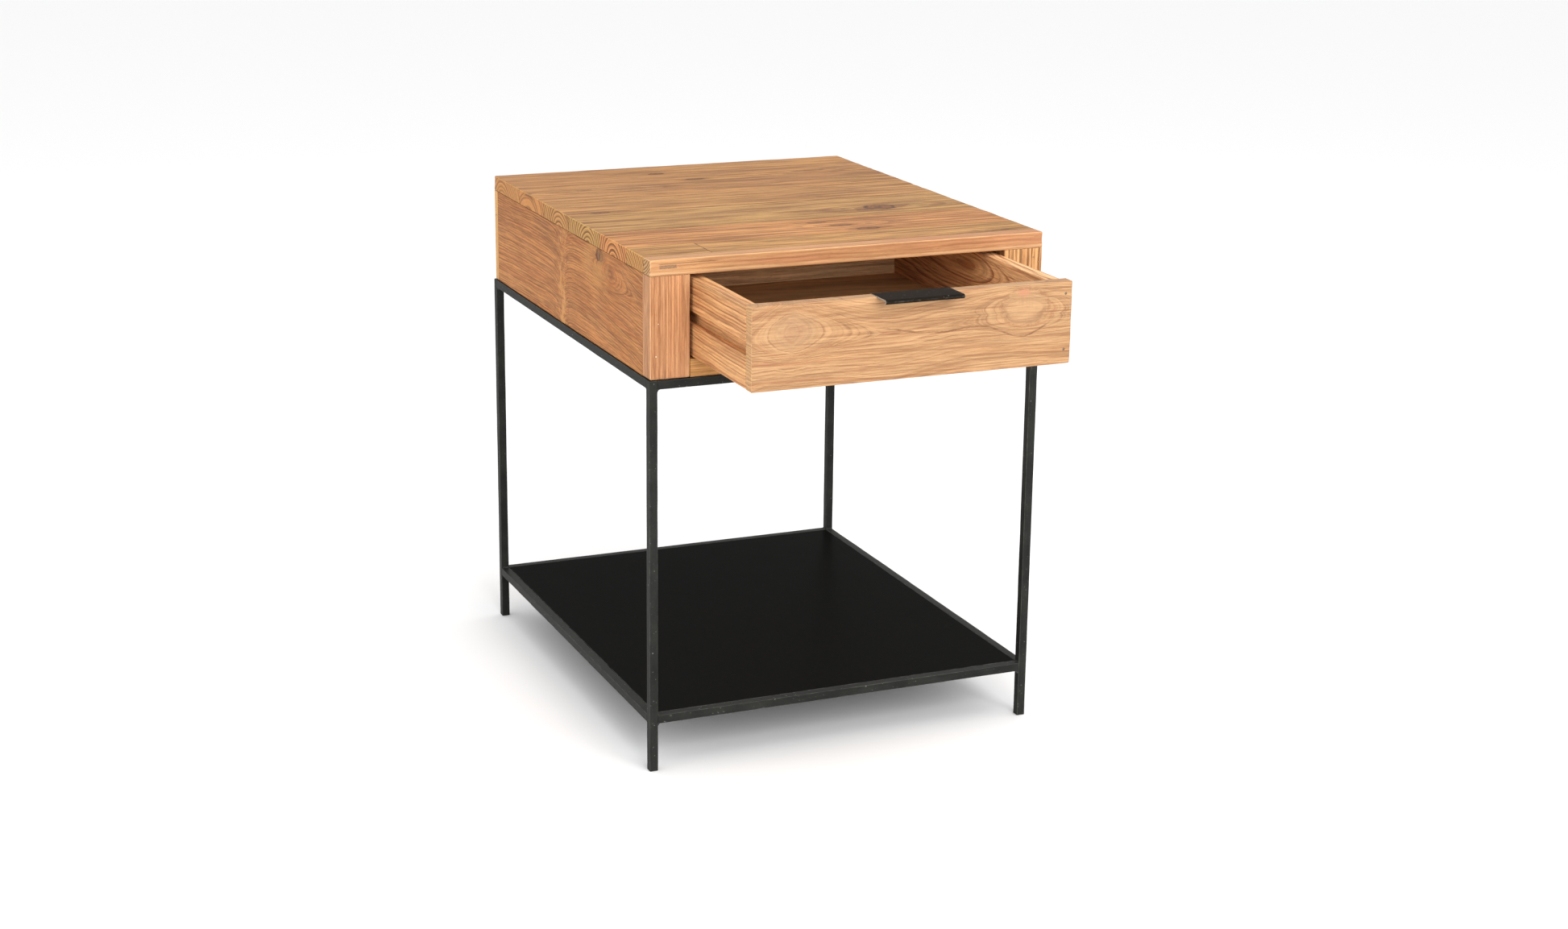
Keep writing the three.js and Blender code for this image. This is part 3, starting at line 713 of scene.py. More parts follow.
def seam_dirt(before):
    """Darkens the wood along the glue lines of the top and the butt joint."""
    def f(g, col, height, u, v, w, colours):
        if before is not None:
            col, height = before(g, col, height, u, v, w, colours)
        br = g.smooth(g.noise(g.x / 34.0, g.y / 30.0, 3.0, 3.0, 0.6), 0.34, 0.60)
        m = None
        for ys in SEAMS:
            k = g.smooth(g.abs(g.y - ys), 0.85, 0.15)
            m = k if m is None else g.math("MAXIMUM", m, k)
        k = (g.smooth(g.abs(g.x + 165.0), 1.1, 0.2) * g.smooth(g.y, -218.5, -220.5)
             * g.smooth(g.y, -278.5, -276.5))
        m = m * (br * 0.75 + 0.2)
        m = g.math("MAXIMUM", m, k)
        up = g.smooth(g.n[2], 0.2, 0.6)
        col = g.mix(m * (up * 0.4 + 0.45), col, tuple(0.55 * q for q in colours["dark"]))
        return col, height - m * 0.8
    return f


SEAMS = [float(box(f"top_plank_{i}")[0][1]) - 0.15 for i in range(2, 7)]
SEAMS.append(float(box("top_front_strip")[1][1]) + 0.15)
for i, (node, kw) in enumerate(PLANKS.items()):
    lo, hi = box(node)
    kw = dict(kw)
    kw["extra"] = seam_dirt(kw.get("extra"))
    # the top's arrises are lightened strongly, partly as wear and partly as a painted highlight
    kw.setdefault("edge_gain", 0.75)
    kw.setdefault("bold", (120.0, 8.0, 0.80))
    mat = wood("wood_" + node, "XYZ", **kw)
    board(node + "_board", lo, hi, mat, nodes=[node],
          joint=JOINTS.get(node, "-y+y"), r=2.0, zlow=0.35, step=(14.0, 12.0, 8.0),
          seed=i, chips=7, wave=0.14)


# ------------------------------------------------------------------ the sides
def side_flow(g, u, v, w):
    """Line height along the left side: the grain climbs to a crotch and falls away."""
    wob = (g.noise(v / 30.0, 3.0, 1.0, 3.0, 0.6) - 0.5) * 60.0
    d = u - 15.0 - wob
    rear = g.math("MAXIMUM", d, 0.0)
    fr = g.math("MAXIMUM", -d, 0.0)
    a = (1.0 - g.math("EXPONENT", rear / -20.0)) * 22.0 - rear * 0.03
    b = (1.0 - g.math("EXPONENT", fr / -15.0)) * 20.0 - g.sq(fr) * 0.00028
    return a * g.smooth(d, -0.5, 0.5) + b * g.smooth(d, 0.5, -0.5)


def side_flow_at(u):
    fr = max(15.0 - u, 0.0)
    return (1.0 - math.exp(-fr / 15.0)) * 20.0 - fr * fr * 0.00028


def side_extra(g, col, height, u, v, w, colours):
    wob = (g.noise(v / 30.0, 3.0, 1.0, 3.0, 0.6) - 0.5) * 60.0
    rag = (g.noise(u / 11.0, v / 8.0, 5.0, 4.0, 0.65) - 0.5) * 34.0
    d = u - 15.0 - wob + rag
    n = g.noise(u / 9.0, v / 15.0, w / 10.0, 4.0, 0.62)
    big = g.noise(u / 30.0, v / 34.0, 2.0, 2.0, 0.5)
    m = g.smooth(g.abs(d + 1.0), 17.0, 3.0) * g.smooth(n + (big - 0.5) * 0.8, 0.36, 0.60)
    col = g.mix(m * 0.85, col, tuple(k_ * q for k_, q in zip((1.18, 1.32, 1.40), colours["light"])))
    hd = g.root(g.sq((u + 112.0) / 46.0) + g.sq((v - 572.0) / 30.0)) + (n - 0.5) * 1.2
    col = g.mix(g.smooth(hd, 1.35, 0.5) * g.smooth(big, 0.36, 0.58) * 0.42, col,
                tuple(k_ * q for k_, q in zip((1.06, 1.20, 1.25), colours["light"])))
    core = g.root(g.sq((u + 126.0) / 3.2) + g.sq((v - 587.0) / 5.6)) + (n - 0.5) * 0.9
    m2 = g.smooth(g.abs(d - 24.0), 15.0, 1.0) * g.smooth(n, 0.46, 0.66)
    col = g.mix(m2 * 0.55, col, colours["dark"])
    m3 = g.smooth(g.abs(d + 21.0), 9.0, 1.0) * g.smooth(n, 0.48, 0.66)
    col = g.mix(m3 * 0.5, col, colours["dark"])
    # grey-brown heart of the knot, split upright
    col = g.mix(g.smooth(core, 1.2, 0.7) * 0.7, col, (0.20, 0.125, 0.062))
    split = g.smooth(g.abs(u + 126.0 + (n - 0.5) * 5.0), 1.6, 0.5) * g.smooth(core, 1.1, 0.8)
    col = g.mix(split * 0.85, col, (0.028, 0.014, 0.008))
    return col, height


SIDE = dict(light=(0.475, 0.240, 0.104), mid=(0.415, 0.188, 0.076), dark=(0.205, 0.080, 0.031),
            red=(0.385, 0.145, 0.056), olive=(0.345, 0.185, 0.082))
mat_side_l = wood("wood_side_left", "YZX", pith=(-330.0, -236.0), spacing=3.3, colours=SIDE, seed=11,
                  warp=(7.0, 1.6), centre=side_flow, centre_at=side_flow_at,
                  eyes=((-163.0, 573.0, -248, 25, 42, 34, 34), (-126.0, 588.0, -248, 9, 17, 17, 14)),
                  knots=((-126.0, 588.0, 12.0, 7.0, 1.15),),
                  line=1.0, red=0.9, olive=0.25, extra=side_extra, fibre=0.38, streak=0.50, edge_gain=0.85,
                  balance=(1.05, 0.89, 0.58), bold=(44.0, 2.4, 0.50))
mat_side_r = wood("wood_side_right", "YZX", pith=(-60.0, 220.0), spacing=3.6, colours=SIDE, seed=12,
                  warp=(13.0, 2.0), eyes=((90.0, 540.0, 251, 20, 60, 80, 26),),
                  knots=((90.0, 540.0, 9.0, 6.0, 0.7),), line=0.6, red=0.5, olive=0.25)
mat_back_u = wood("wood_back_upper", "XZY", pith=(580.0, 230.0), spacing=3.4,
                  colours=pal(SIDE_LIGHT, 0.97), seed=13,
                  warp=(9.0, 1.6), eyes=((-60.0, 580.0, 297, 10, 50, 60, 12),), line=0.5,
                  end_tint=(1.30, 1.50, 1.60), end_line=0.25)
mat_back_l = wood("wood_back_lower", "XZY", pith=(470.0, 150.0), spacing=3.1,
                  colours=pal(SIDE_LIGHT, 0.93), seed=14,
                  warp=(11.0, 1.8), eyes=((120.0, 520.0, 297, 18, 70, 60, 20),),
                  knots=((120.0, 520.0, 8.0, 5.0, 0.7),), line=0.55,
                  end_tint=(1.25, 1.42, 1.50), end_line=0.25)
for node, mat, sd in (("side_panel_left", mat_side_l, 21), ("side_panel_right", mat_side_r, 22)):
    lo, hi = box(node)
    board(node + "_board", lo, hi, mat, nodes=[node], joint="-y+y+z", r=0.9,
          step=(9.0, 16.0, 12.0), seed=sd, chips=3, wave=0.16)
for node, mat, jn, sd in (("back_board_upper", mat_back_u, "-z+z", 23), ("back_board_lower", mat_back_l, "+z", 24)):
    lo, hi = box(node)
    board(node + "_board", lo, hi, mat, nodes=[node], joint=jn, r=1.0,
          step=(18.0, 8.0, 12.0), seed=sd, chips=4, wave=0.14)


# ------------------------------------------------------------ stiles and rail
def filler_dots(dots, tone=(0.62, 0.44, 0.28)):
    """Small filled nail holes at (x, z) on the front face."""
    def f(g, col, height, u, v, w, colours):
        for (x0, z0, rad) in dots:
            n = (g.noise(g.x / 1.2, z0 * 0.1, g.z / 1.2, 2.0, 0.6) - 0.5) * 1.0
            d = g.root(g.sq(g.x - x0) + g.sq(g.z - z0)) + n
            m = g.smooth(d, rad, rad * 0.55)
            rim = g.smooth(d, rad * 1.7, rad) * g.smooth(d, rad * 0.7, rad)
            col = g.mix(rim * 0.6, col, colours["dark"])
            col = g.mix(m * 0.8, col, tone)
            height = height - m * 0.5
        return col, height
    return f


STILE = dict(light=(0.570, 0.330, 0.190), mid=(0.510, 0.262, 0.145), dark=(0.270, 0.110, 0.055),
             red=(0.460, 0.200, 0.110), olive=(0.44, 0.250, 0.140))
RSTILE = dict(light=(0.50, 0.285, 0.135), mid=(0.45, 0.232, 0.103), dark=(0.200, 0.080, 0.030),
              red=(0.40, 0.170, 0.070), olive=(0.36, 0.205, 0.095))
STILES = {
    # the outer stile's arrises are lightened strongly, partly as wear and partly as a painted highlight on the
    # front-left corner
    "front_stile_left_outer": (dict(pith=(-560.0, -300.0), spacing=2.6, colours=STILE, seed=31,
                                    warp=(2.5, 0.8), line=0.7, red=0.7, olive=0.1, edge_gain=0.85, balance=(0.89, 0.82, 0.67),
                                    bold=(40.0, 2.2, 0.4),
                                    extra=filler_dots(((-240.5, 503.5, 1.5), (-238.0, 541.0, 1.1)))),
                               "+x+z+y"),
    "front_stile_left_inner": (dict(pith=(-60.0, -330.0), spacing=3.0, colours=pal(STILE, 1.02), seed=32,
                                    warp=(3.5, 1.2), line=0.5, red=0.5, olive=0.1, ring_var=3.0,
                                    balance=(0.94, 0.85, 0.69), bold=(60.0, 2.4, 0.45)), "-x+z+y"),
    "front_stile_right": (dict(pith=(720.0, -270.0), spacing=5.0, seed=33,
                               colours=pal(RSTILE, 1.0, light=(0.66, 0.39, 0.19), mid=(0.60, 0.325, 0.15),
                                           dark=(0.11, 0.045, 0.020)), balance=(0.92, 0.83, 0.70),
                               bold=(120.0, 3.2, 0.5),
                               warp=(1.6, 0.4), line=1.25, red=0.25, olive=0.1, ring_var=0.9,
                               extra=filler_dots(((246.6, 578.7, 1.2), (240.0, 585.0, 0.9),
                                                  (243.0, 560.0, 0.9)), (0.30, 0.16, 0.08))), "+z+y"),
}
for node, (kw, jn) in STILES.items():
    lo, hi = box(node)
    board(node + "_board", lo, hi, wood("wood_" + node, "ZXY", **kw), nodes=[node],
          joint=jn, r=1.5, step=(8.0, 8.0, 12.0), seed=len(node), chips=4, wave=0.10)
lo, hi = box("bottom_rail")
board("bottom_rail_board", lo, hi,
      wood("wood_bottom_rail", "XZY", pith=(400.0, -270.0), spacing=3.2, colours=RSTILE, seed=34,
           warp=(5.0, 1.2), line=0.5), nodes=["bottom_rail"], joint="-x+x+y", r=0.9,
      step=(16.0, 8.0, 8.0), seed=35, chips=3)


# --------------------------------------------------------------------- drawer
def front_flow(g, u, v, w):
    """The middle line of the drawer front: it dips between the two knots."""
    a = g.math("EXPONENT", g.sq((u + 30.0) / 62.0) * -1.0) * -13.0
    b = g.math("EXPONENT", g.sq((u - 205.0) / 60.0) * -1.0) * -4.0
    c = g.math("EXPONENT", g.sq((u + 205.0) / 30.0) * -1.0) * -6.0
    return a + b + c


def front_extra(g, col, height, u, v, w, colours):
    # pinkish core of the right knot and the ruffled heart of the left one
    n = g.noise(u / 7.0, v / 5.0, w / 5.0, 4.0, 0.65)
    d1 = g.root(g.sq((u - 134.0) / 9.0) + g.sq((v - 585.0) / 5.0)) + (n - 0.5) * 1.0
    col = g.mix(g.smooth(d1, 1.25, 0.5) * 0.75, col, (0.46, 0.185, 0.105))
    d2 = g.root(g.sq((u + 146.0) / 13.0) + g.sq((v - 562.0) / 13.0)) + (n - 0.5) * 1.5
    m2 = g.smooth(d2, 1.5, 0.3)
    col = g.mix(m2 * g.smooth(n, 0.42, 0.62) * 0.5, col, (0.42, 0.185, 0.092))
    d3 = g.root(g.sq((u + 146.0) / 30.0) + g.sq((v - 564.0) / 22.0)) + (n - 0.5) * 0.9
    col = g.mix(g.smooth(d3, 1.25, 0.3) * 0.50, col, (0.34, 0.200, 0.108))
    rays = g.noise((u + 146.0) / 26.0, v / 2.6, 7.0, 3.0, 0.6)
    col = g.mix(g.smooth(d2, 2.0, 0.4) * g.smooth(rays, 0.50, 0.66) * 0.6, col, (0.24, 0.115, 0.06))
    d4 = g.root(g.sq((u - 136.0) / 30.0) + g.sq((v - 568.0) / 22.0)) + (n - 0.5) * 0.6
    col = g.mix(g.smooth(d4, 1.25, 0.5) * 0.30, col, (0.42, 0.262, 0.140))
    ringd = g.smooth(g.abs(d4 - 1.02), 0.11, 0.02) * g.smooth(n, 0.34, 0.55)
    col = g.mix(ringd * 0.45, col, colours["dark"])
    rays2 = g.noise((u - 134.0) / 3.0, v / 30.0, 9.0, 3.0, 0.6)
    col = g.mix(g.smooth(d4, 0.9, 0.2) * g.smooth(rays2, 0.50, 0.66) * 0.35, col, (0.30, 0.16, 0.085))
    # one dark line leaves the left knot, dips and climbs round the right one
    dip = g.math("EXPONENT", g.sq((u - 28.0) / 62.0) * -1.0)
    rise = g.math("EXPONENT", g.sq((u - 134.0) / 40.0) * -1.0)
    lv = v - 562.0 + dip * 14.0 + rise * 26.0 + (n - 0.5) * 3.0
    sw = g.smooth(u, -48.0, -20.0) * g.smooth(u, 186.0, 150.0)
    br = g.smooth(g.noise(u / 26.0, v / 9.0, 3.0, 3.0, 0.6), 0.36, 0.56)
    col = g.mix(g.smooth(g.abs(lv), 1.5, 0.4) * sw * (br * 0.5 + 0.3), col,
                tuple(0.7 * q for q in colours["dark"]))
    return col, height


FRONT = dict(light=(0.520, 0.318, 0.165), mid=(0.475, 0.268, 0.130), dark=(0.285, 0.128, 0.062),
             red=(0.430, 0.195, 0.100), olive=(0.400, 0.245, 0.125))
mat_front = wood("wood_drawer_front", "XZY", pith=(-1500.0, -471.0), spacing=4.4, colours=FRONT, seed=41,
                 warp=(7.0, 2.6), centre=front_flow, line=0.72, red=0.7, olive=0.25, fibre=0.30,
                 eyes=((-146.0, 562.0, -471, 33, 34, 106, 60, 1), (134.0, 568.0, -471, 24, 42, 46, 30)),
                 knots=(), pores=0.6, extra=front_extra, streak=0.34, ruffle=5.5,
                 ring_var=3.0, sharp=0.66, balance=(0.81, 0.78, 0.74), bold=(85.0, 2.4, 0.60),
                 end_tint=(1.12, 1.10, 1.05), end_line=0.25)
DRW = dict(light=(0.620, 0.372, 0.205), mid=(0.550, 0.292, 0.150), dark=(0.235, 0.085, 0.042),
           red=(0.480, 0.195, 0.095), olive=(0.46, 0.275, 0.150))
lo, hi = box("drawer_front")
plo, phi = box("drawer_pull")
blo, bhi = box("drawer_bottom")
cuts = [("box", (plo[0] - 0.3, lo[1] - 2, phi[2] - 1.8), (phi[0] + 0.3, hi[1] + 2, hi[2] + 2)),
        ("box", (blo[0] - 0.3, blo[1] - 0.3, blo[2] - 0.3), (bhi[0] + 0.3, hi[1] + 2, bhi[2] + 0.3))]
for l_ in ("upper", "lower"):             # the two left-hand pins are filled over
    a_, b_ = box(f"drawer_pin_{l_}_right")
    c_ = (a_ + b_) / 2
    cuts.append(("hole", (c_[0], lo[1], c_[2]), (0, 1, 0), 1.5, 3.0))
board("drawer_front_board", lo, hi, mat_front, "drawer", ["drawer_front"], r=1.3,
      step=(9.0, 8.0, 9.0), seed=42, chips=6, wave=0.12, cutters=cuts)

# the drawer sides' balances lift them above the other boards as painted light, brightening faces that the lamps
# leave in the case's shade
SIDES = {
    "drawer_side_left": dict(pith=(705.0, -120.0), spacing=3.6, colours=DRW, seed=43, warp=(7.0, 1.6),
                             balance=(1.16, 1.05, 0.82), bold=(60.0, 2.2, 0.35),
                             line=0.85, red=0.6, olive=0.15),
    "drawer_side_right": dict(pith=(480.0, 110.0), spacing=5.2, colours=DRW, seed=44, warp=(16.0, 2.2),
                              balance=(1.24, 1.20, 1.06), bold=(70.0, 2.6, 0.5),
                              line=0.95, red=0.6, olive=0.15,
                              eyes=((-250.0, 570.0, 180, 26, 60, 120, 26),)),
}
for node, kw in SIDES.items():
    lo, hi = box(node)
    left = lo[0] < 0
    glo, ghi = 537.0, 552.0
    og = (("box", (lo[0] - 2, lo[1] - 2, glo), (lo[0] + 7.5, hi[1] + 2, ghi)) if left else
          ("box", (hi[0] - 7.5, lo[1] - 2, glo), (hi[0] + 2, hi[1] + 2, ghi)))
    ig = (("box", (hi[0] - 6, lo[1] - 2, blo[2] - 0.3), (hi[0] + 2, hi[1] + 2, bhi[2] + 0.3)) if left else
          ("box", (lo[0] - 2, lo[1] - 2, blo[2] - 0.3), (lo[0] + 6, hi[1] + 2, bhi[2] + 0.3)))
    board(node + "_board", lo, hi, wood("wood_" + node, "YZX", **kw), "drawer", [node],
          joint="", r=0.8, step=(8.0, 14.0, 9.0), seed=45 + int(left), chips=3, wave=0.10, cutters=[og, ig])
# the drawer back's balance lifts it well above its palette as painted light for the inside of the drawer
lo, hi = box("drawer_back")
board("drawer_back_board", lo, hi,
      wood("wood_drawer_back", "XZY", pith=(610.0, -140.0), spacing=4.8, colours=DRW, seed=46,
           warp=(9.0, 1.6), line=0.75, red=0.3, olive=0.3, balance=(1.30, 1.45, 1.40),
           eyes=((-118.0, 572.0, -45, 13, 26, 30, 12),),
           knots=((-88.0, 580.0, 14.0, 2.4, 0.9),)),
      "drawer", ["drawer_back"], joint="-x+x-z", r=0.8, step=(14.0, 8.0, 9.0), seed=47)
# the bottom's balance lifts it far above its own brown as painted light, standing in for light that doesn't reach
# inside the drawer
lo, hi = box("drawer_bottom")
BOTTOM = dict(light=(0.460, 0.290, 0.195), mid=(0.410, 0.245, 0.160), dark=(0.240, 0.130, 0.080),
              red=(0.40, 0.220, 0.135), olive=(0.38, 0.240, 0.160))
board("drawer_bottom_board", lo, hi,
      wood("wood_drawer_bottom", "XYZ", pith=(-240.0, -300.0), spacing=6.5, colours=BOTTOM, seed=48,
           warp=(16.0, 1.2), line=0.35, red=0.2, olive=0.3, fibre=0.2, pores=0.3, edge_gain=0.1,
           balance=(1.52, 1.45, 0.98)),
      "drawer", ["drawer_bottom"], r=0.4, step=(16.0, 16.0, 5.0), seed=49, wave=0.05)

# pieces inside the case keep their CAD shape, with softened arrises
ROUGH = dict(light=(0.42, 0.265, 0.145), mid=(0.36, 0.210, 0.105), dark=(0.19, 0.095, 0.045),
             red=(0.33, 0.160, 0.080), olive=(0.29, 0.185, 0.100))


def dress(node, mat, bevel=0.4, segments=2, smooth=35):
    ob = NODES[node]
    for s_ in ob.material_slots:
        s_.material = mat
    if bevel:
        md = ob.modifiers.new("arris", "BEVEL")
        md.width, md.segments = bevel / 1000.0, segments
        md.limit_method, md.angle_limit = "ANGLE", math.radians(40)
        md.harden_normals = True
    return ob


for i, node in enumerate(["guide_rail_left", "guide_rail_right", "runner_left", "runner_right",
                          "drawer_stop_left", "drawer_stop_right"]):
    ax = "ZXY" if "stop" in node else "YZX"
    dress(node, wood("wood_" + node, ax, pith=(400.0 + 40 * i, 120.0), spacing=3.1, colours=ROUGH,
                     seed=60 + i, warp=(6.0, 1.5), line=0.5, edge_gain=0.0), 0.5)

mat_screw = steel("zinc_steel")
mat_pin = steel("pin_steel", (0.20, 0.17, 0.14), 0.5)
for node in NODES:
    if "screw" in node:
        dress(node, mat_screw, 0.0)
    elif "drawer_pin" in node:
        dress(node, mat_pin, 0.15, 1)

# ----------------------------------------------------------------- iron frame
mat_leg = iron("iron_leg", seed=1, ax="Z")
mat_bar_x = iron("iron_bar_x", seed=2, ax="X")
mat_bar_y = iron("iron_bar_y", seed=3, ax="Y")
mat_tab = iron("iron_tab", seed=4, ax="X")
mat_weld = iron("iron_weld", seed=5, ax="X", pale=(0.050, 0.050, 0.047), rough=0.5, mottle=0.8)
# the sheet's edges are lightened strongly, partly as scuffed paint and partly as a painted highlight for the light
# line round the shelf
mat_sheet = iron("iron_sheet", base=(0.0058, 0.0058, 0.0055), pale=(0.0080, 0.0080, 0.0075), seed=6,
                 rough=0.34, metallic=0.0, spec=0.002, mottle=0.35, edge_gain=0.9, scratch=0.10,
                 specks=0.04, ax="Y")
END = 0.28
for en in ("front", "back"):
    for sn in ("left", "right"):
        node = f"leg_{en}_{sn}"
        lo, hi = box(node)
        board(node + "_bar", lo, hi, mat_leg, nodes=[node], r=0.95, var=0.4,
              step=(4.0, 4.0, 14.0), seed=70 + len(node), wave=0.10, seam=0)
for lv in ("top", "shelf"):
    for en in ("front", "back"):
        node = f"{lv}_bar_{en}"
        lo, hi = box(node)
        lo[0] -= END
        hi[0] += END
        board(node + "_bar", lo, hi, mat_bar_x, nodes=[node], joint="-x+x", r=0.9,
              var=0.4, step=(14.0, 4.0, 4.0), seed=80 + len(node), wave=0.10, seam=0.05)
    for sn in ("left", "right"):
        node = f"{lv}_bar_{sn}"
        lo, hi = box(node)
        lo[1] -= END
        hi[1] += END
        board(node + "_bar", lo, hi, mat_bar_y, nodes=[node], joint="-y+y", r=0.9,
              var=0.4, step=(4.0, 14.0, 4.0), seed=90 + len(node), wave=0.10, seam=0.05)
lo, hi = box("shelf_sheet")
board("shelf_sheet_plate", lo, hi, mat_sheet, nodes=["shelf_sheet"], r=0.7,
      var=0.3, step=(16.0, 16.0, 2.0), seed=99, wave=0.12, seam=0)
for en in ("front", "back"):
    for sn in ("left", "right"):
        dress(f"fixing_tab_{en}_{sn}", mat_tab, 0.35)


def bead(corner, du, dw, dv, width, size, seed, n=7, m=6):
    """A small weld fillet in the inner corner of two bars.  du and dw point away
    from the corner along the two bars, dv across them."""
    du, dw, dv = (np.asarray(q, float) for q in (du, dw, dv))
    verts, faces = [], []
    rng = random.Random(seed)
    s1, s2 = size * rng.uniform(0.85, 1.2), size * rng.uniform(0.85, 1.2)
    for j in range(m + 1):
        t = j / m
        b = (t - 0.5) * width
        sh = 0.80 + 0.20 * math.sin(math.pi * min(1, max(0, t)))
        verts.append(corner + dv * b - du * 0.25 - dw * 0.25)
        for i in range(n + 1):
            a = i / n
            p, q = s1 * sh * (1 - a), s2 * sh * a
            sag = 0.18 * size * math.sin(math.pi * a)
            rip = 0.16 * math.sin(j * 2.3 + seed) + 0.20 * rng.uniform(-1, 1)
            p = max(p - sag * 0.7 + rip * math.sin(math.pi * a), 0.0)
            q = max(q - sag * 0.7 + rip * math.sin(math.pi * a), 0.0)
            verts.append(corner + dv * b + du * (p if i < n else -0.25) + dw * (q if i else -0.25))
    row = n + 2
    for j in range(m):
        for i in range(n + 2):
            a, b = j * row + i, j * row + (i + 1) % row
            faces.append((a, b, b + row, a + row))
    faces.append(tuple(reversed(range(row))))
    faces.append(tuple(m * row + i for i in range(row)))
    return np.array(verts), faces


def beads(name, level, nodes_like):
    allv, allf, alle = [], [], []
    k = 0
    for en, es in (("front", -1), ("back", 1)):
        for sn, ss in (("left", -1), ("right", 1)):
            l_lo, l_hi = box(f"leg_{en}_{sn}")
            xi = l_hi[0] if ss < 0 else l_lo[0]
            yi = l_hi[1] if es < 0 else l_lo[1]
            b_lo, b_hi = box(f"{level}_bar_{en}")
            s_lo, s_hi = box(f"{level}_bar_{sn}")
            ym, xm = (b_lo[1] + b_hi[1]) / 2, (s_lo[0] + s_hi[0]) / 2
            size = 4.4 if level == "shelf" else 4.0
            spots = [((xi, ym, b_lo[2]), (-ss, 0, 0), (0, 0, -1), (0, 1, 0), 8.6, size),
                     ((xm, yi, s_lo[2]), (0, -es, 0), (0, 0, -1), (1, 0, 0), 8.6, size)]
            if level == "shelf":
                spots += [((xi, ym, b_hi[2]), (-ss, 0, 0), (0, 0, 1), (0, 1, 0), 8.0, 1.9),
                          ((xm, yi, s_hi[2]), (0, -es, 0), (0, 0, 1), (1, 0, 0), 8.0, 1.9)]
            for c, du, dw, dv, wd, sz in spots:
                k += 1
                v, f = bead(np.array(c, float), du, dw, dv, wd, sz, k + 50)
                nrm = np.cross(np.array(du, float), np.array(dw, float))
                if np.dot(nrm, np.array(dv, float)) > 0:
                    f = [tuple(reversed(q)) for q in f]
                o = len(allv)
                allv += [tuple(p) for p in v]
                allf += [tuple(o + i for i in q) for q in f]
    rng = random.Random(5)
    alle = [0.35 + 0.5 * rng.random() for _ in allv]
    ob = add_piece(name, np.array(allv), allf, mat_weld, "table", (), alle, sharp=50)
    bm = bmesh.new()
    bm.from_mesh(ob.data)
    bmesh.ops.recalc_face_normals(bm, faces=bm.faces)
    bm.to_mesh(ob.data)
    bm.free()
    return ob


beads("weld_beads_top", "top", "top_bar")
beads("weld_beads_shelf", "shelf", "shelf_bar")


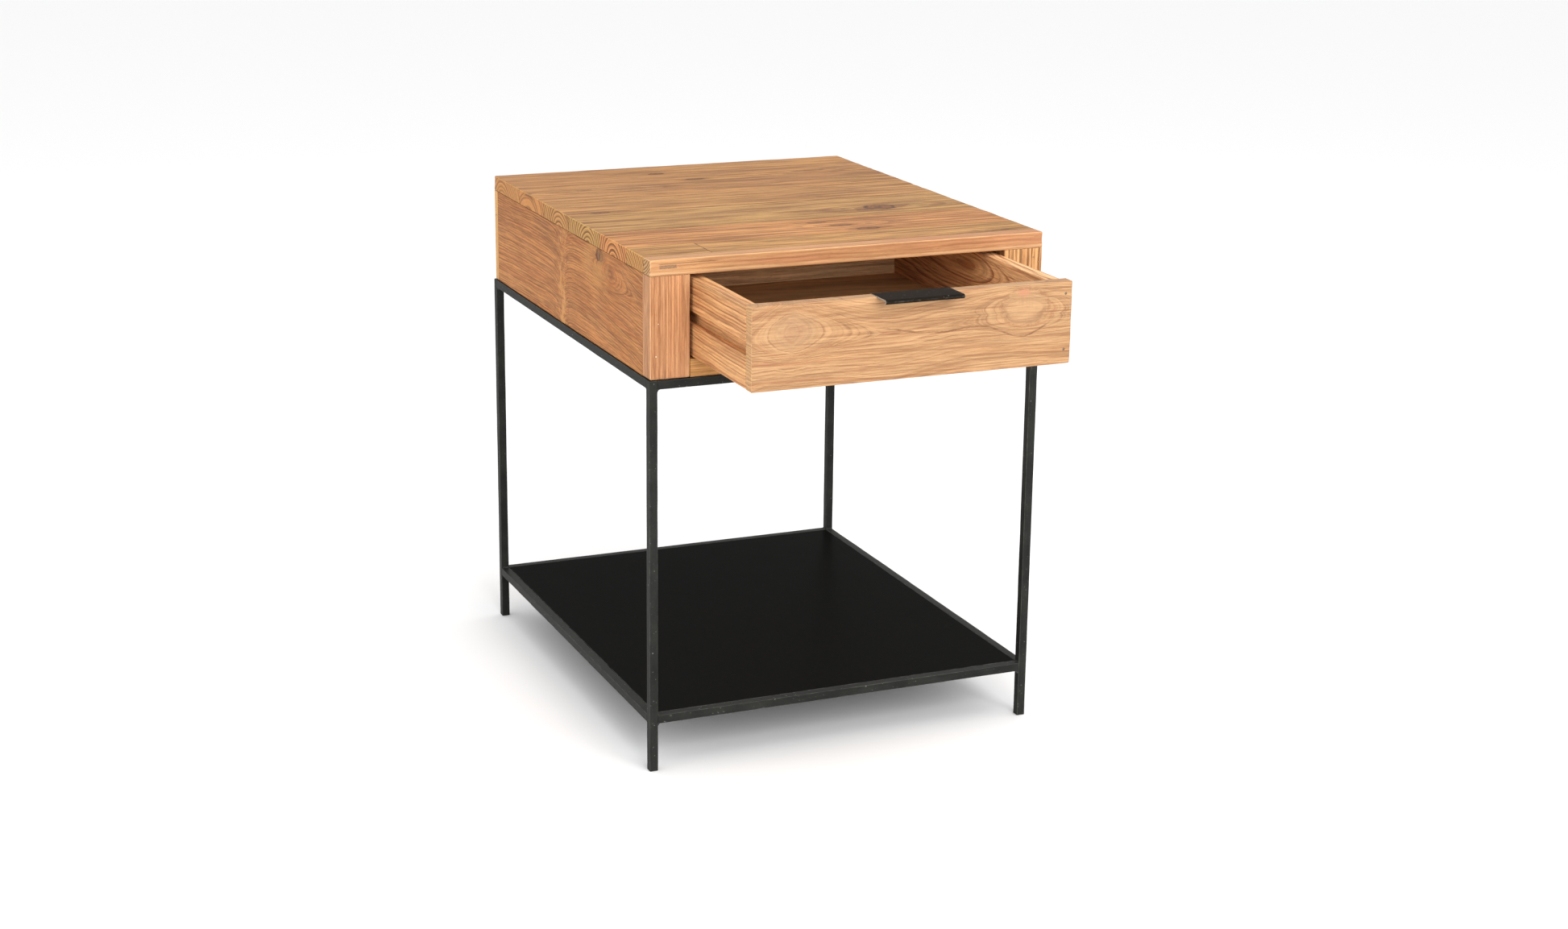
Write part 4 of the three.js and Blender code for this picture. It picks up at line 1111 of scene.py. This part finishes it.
# ----------------------------------------------------------------------- pull
def make_pull():
    lo, hi = box("drawer_pull")
    t = 1.5
    yb, yt, z1, z0 = hi[1], lo[1], hi[2], lo[2]
    cl = []                                   # centre line in (y, z)

    def arc(cy, cz, r, a0, a1, n):
        for i in range(n + 1):
            a = math.radians(a0 + (a1 - a0) * i / n)
            cl.append((cy + r * math.cos(a), cz + r * math.sin(a)))

    cl.append((yb - t / 2, z0))
    cl.append((yb - t / 2, z0 + 8))
    cl.append((yb - t / 2, z0 + 15))
    arc(yb - 2.2, z1 - 2.2, 2.2 - t / 2, 0, 90, 8)
    for k in range(1, 6):
        a, b = yb - 2.2, yt + 2.5
        cl.append((a + (b - a) * k / 6, z1 - t / 2))
    arc(yt + 2.5, z1 - 2.5, 2.5 - t / 2, 90, 305, 22)
    cl = np.array(cl)
    tan = np.gradient(cl, axis=0)
    tan /= np.linalg.norm(tan, axis=1)[:, None]
    nrm = np.stack([tan[:, 1], -tan[:, 0]], axis=1)
    outer, inner = cl + nrm * t / 2, cl - nrm * t / 2
    prof = np.concatenate([outer, inner[::-1]])
    n = len(prof)
    xs = [lo[0] + (hi[0] - lo[0]) * k / 24 for k in range(25)]
    verts, faces = [], []
    for x in xs:
        for (y, z) in prof:
            bend = 0.10 * noise.noise(Vector((x / 21.0, y / 15.0, 1.7)))
            verts.append((x, y, min(z + min(bend, 0.0), hi[2])))
    m = len(outer)
    for j in range(len(xs) - 1):
        for i in range(n):
            a, b = j * n + i, j * n + (i + 1) % n
            faces.append((a, a + n, b + n, b))
    for j in (0, len(xs) - 1):
        for i in range(m - 1):
            q = (j * n + i, j * n + i + 1, j * n + (n - 2 - i), j * n + (n - 1 - i))
            faces.append(q if j == 0 else q[::-1])
    # the pull's iron carries a warm brown tint as a painted reflection of the wood around it
    ob = add_piece("drawer_pull_plate", np.array(verts), faces, iron(
        "iron_pull", base=(0.0120, 0.0090, 0.0065), pale=(0.024, 0.018, 0.014), seed=8, rough=0.42,
        metallic=0.0, spec=0.004, mottle=0.5, ends_bare=True, scratch=0.8, specks=0.35, ax="X",
        edge_gain=0.7), "drawer", ["drawer_pull"])
    bm = bmesh.new()
    bm.from_mesh(ob.data)
    bmesh.ops.recalc_face_normals(bm, faces=bm.faces)
    bm.to_mesh(ob.data)
    bm.free()
    md = ob.modifiers.new("arris", "BEVEL")
    md.width, md.segments = 0.00022, 2
    md.limit_method, md.angle_limit = "ANGLE", math.radians(50)
    dg = bpy.context.evaluated_depsgraph_get()
    new = bpy.data.meshes.new_from_object(ob.evaluated_get(dg), preserve_all_data_layers=True, depsgraph=dg)
    ob.modifiers.clear()
    ob.data = new
    co = np.empty(len(new.vertices) * 3, np.float32)
    new.vertices.foreach_get("co", co)
    Q = co.reshape(-1, 3) * 1000.0 - ORG
    e = np.zeros(len(Q))
    e = np.maximum(e, np.clip(1.0 - np.minimum(Q[:, 0] - lo[0], hi[0] - Q[:, 0]) / 0.5, 0, 1))
    e = np.maximum(e, 0.55 * np.clip(1.0 - (Q[:, 1] - lo[1]) / 0.9, 0, 1))
    if "edge" in new.attributes:
        new.attributes.remove(new.attributes["edge"])
    at = new.attributes.new("edge", "FLOAT", "POINT")
    at.data.foreach_set("value", e.astype(np.float32))
    for p in new.polygons:
        p.use_smooth = True
    new.set_sharp_from_angle(angle=math.radians(40))


make_pull()


# ----------------------------------------------------------- stage and lights
def make_stage():
    bm = bmesh.new()
    bmesh.ops.create_grid(bm, x_segments=8, y_segments=8, size=20.0)
    me = bpy.data.meshes.new("floor")
    bm.to_mesh(me)
    bm.free()
    m = bpy.data.materials.new("floor_paint")
    m.use_nodes = True
    b = m.node_tree.nodes["Principled BSDF"]
    b.inputs["Base Color"].default_value = (0.94, 0.94, 0.94, 1.0)
    b.inputs["Roughness"].default_value = 0.9
    b.inputs["Specular IOR Level"].default_value = 0.1
    me.materials.append(m)
    ob = bpy.data.objects.new("floor", me)
    scene.collection.objects.link(ob)

    w = bpy.data.worlds.new("studio")
    w.use_nodes = True
    bg = w.node_tree.nodes["Background"]
    bg.inputs["Color"].default_value = (1.0, 1.0, 1.0, 1.0)
    bg.inputs["Strength"].default_value = 1.0
    scene.world = w

    def area(name, loc, target, size, power, colour=(1, 1, 1)):
        l = bpy.data.lights.new(name, "AREA")
        l.shape, l.size, l.size_y = "RECTANGLE", size[0], size[1]
        l.energy, l.color = power, colour
        o = bpy.data.objects.new(name, l)
        o.location = loc
        o.rotation_euler = (Vector(target) - Vector(loc)).to_track_quat("-Z", "Y").to_euler()
        scene.collection.objects.link(o)

    area("key", (0.15, -3.4, 1.72), (0.0, -0.2, 0.5), (2.4, 2.3), 96)
    area("top", (0.2, -0.5, 3.1), (0.0, 0.0, 0.5), (2.4, 2.4), 26)
    area("fill_left", (-3.2, -0.6, 1.3), (0.0, 0.1, 0.4), (2.0, 1.8), 9)


make_stage()
scene.view_settings.view_transform = "Standard"
scene.view_settings.look = "None"
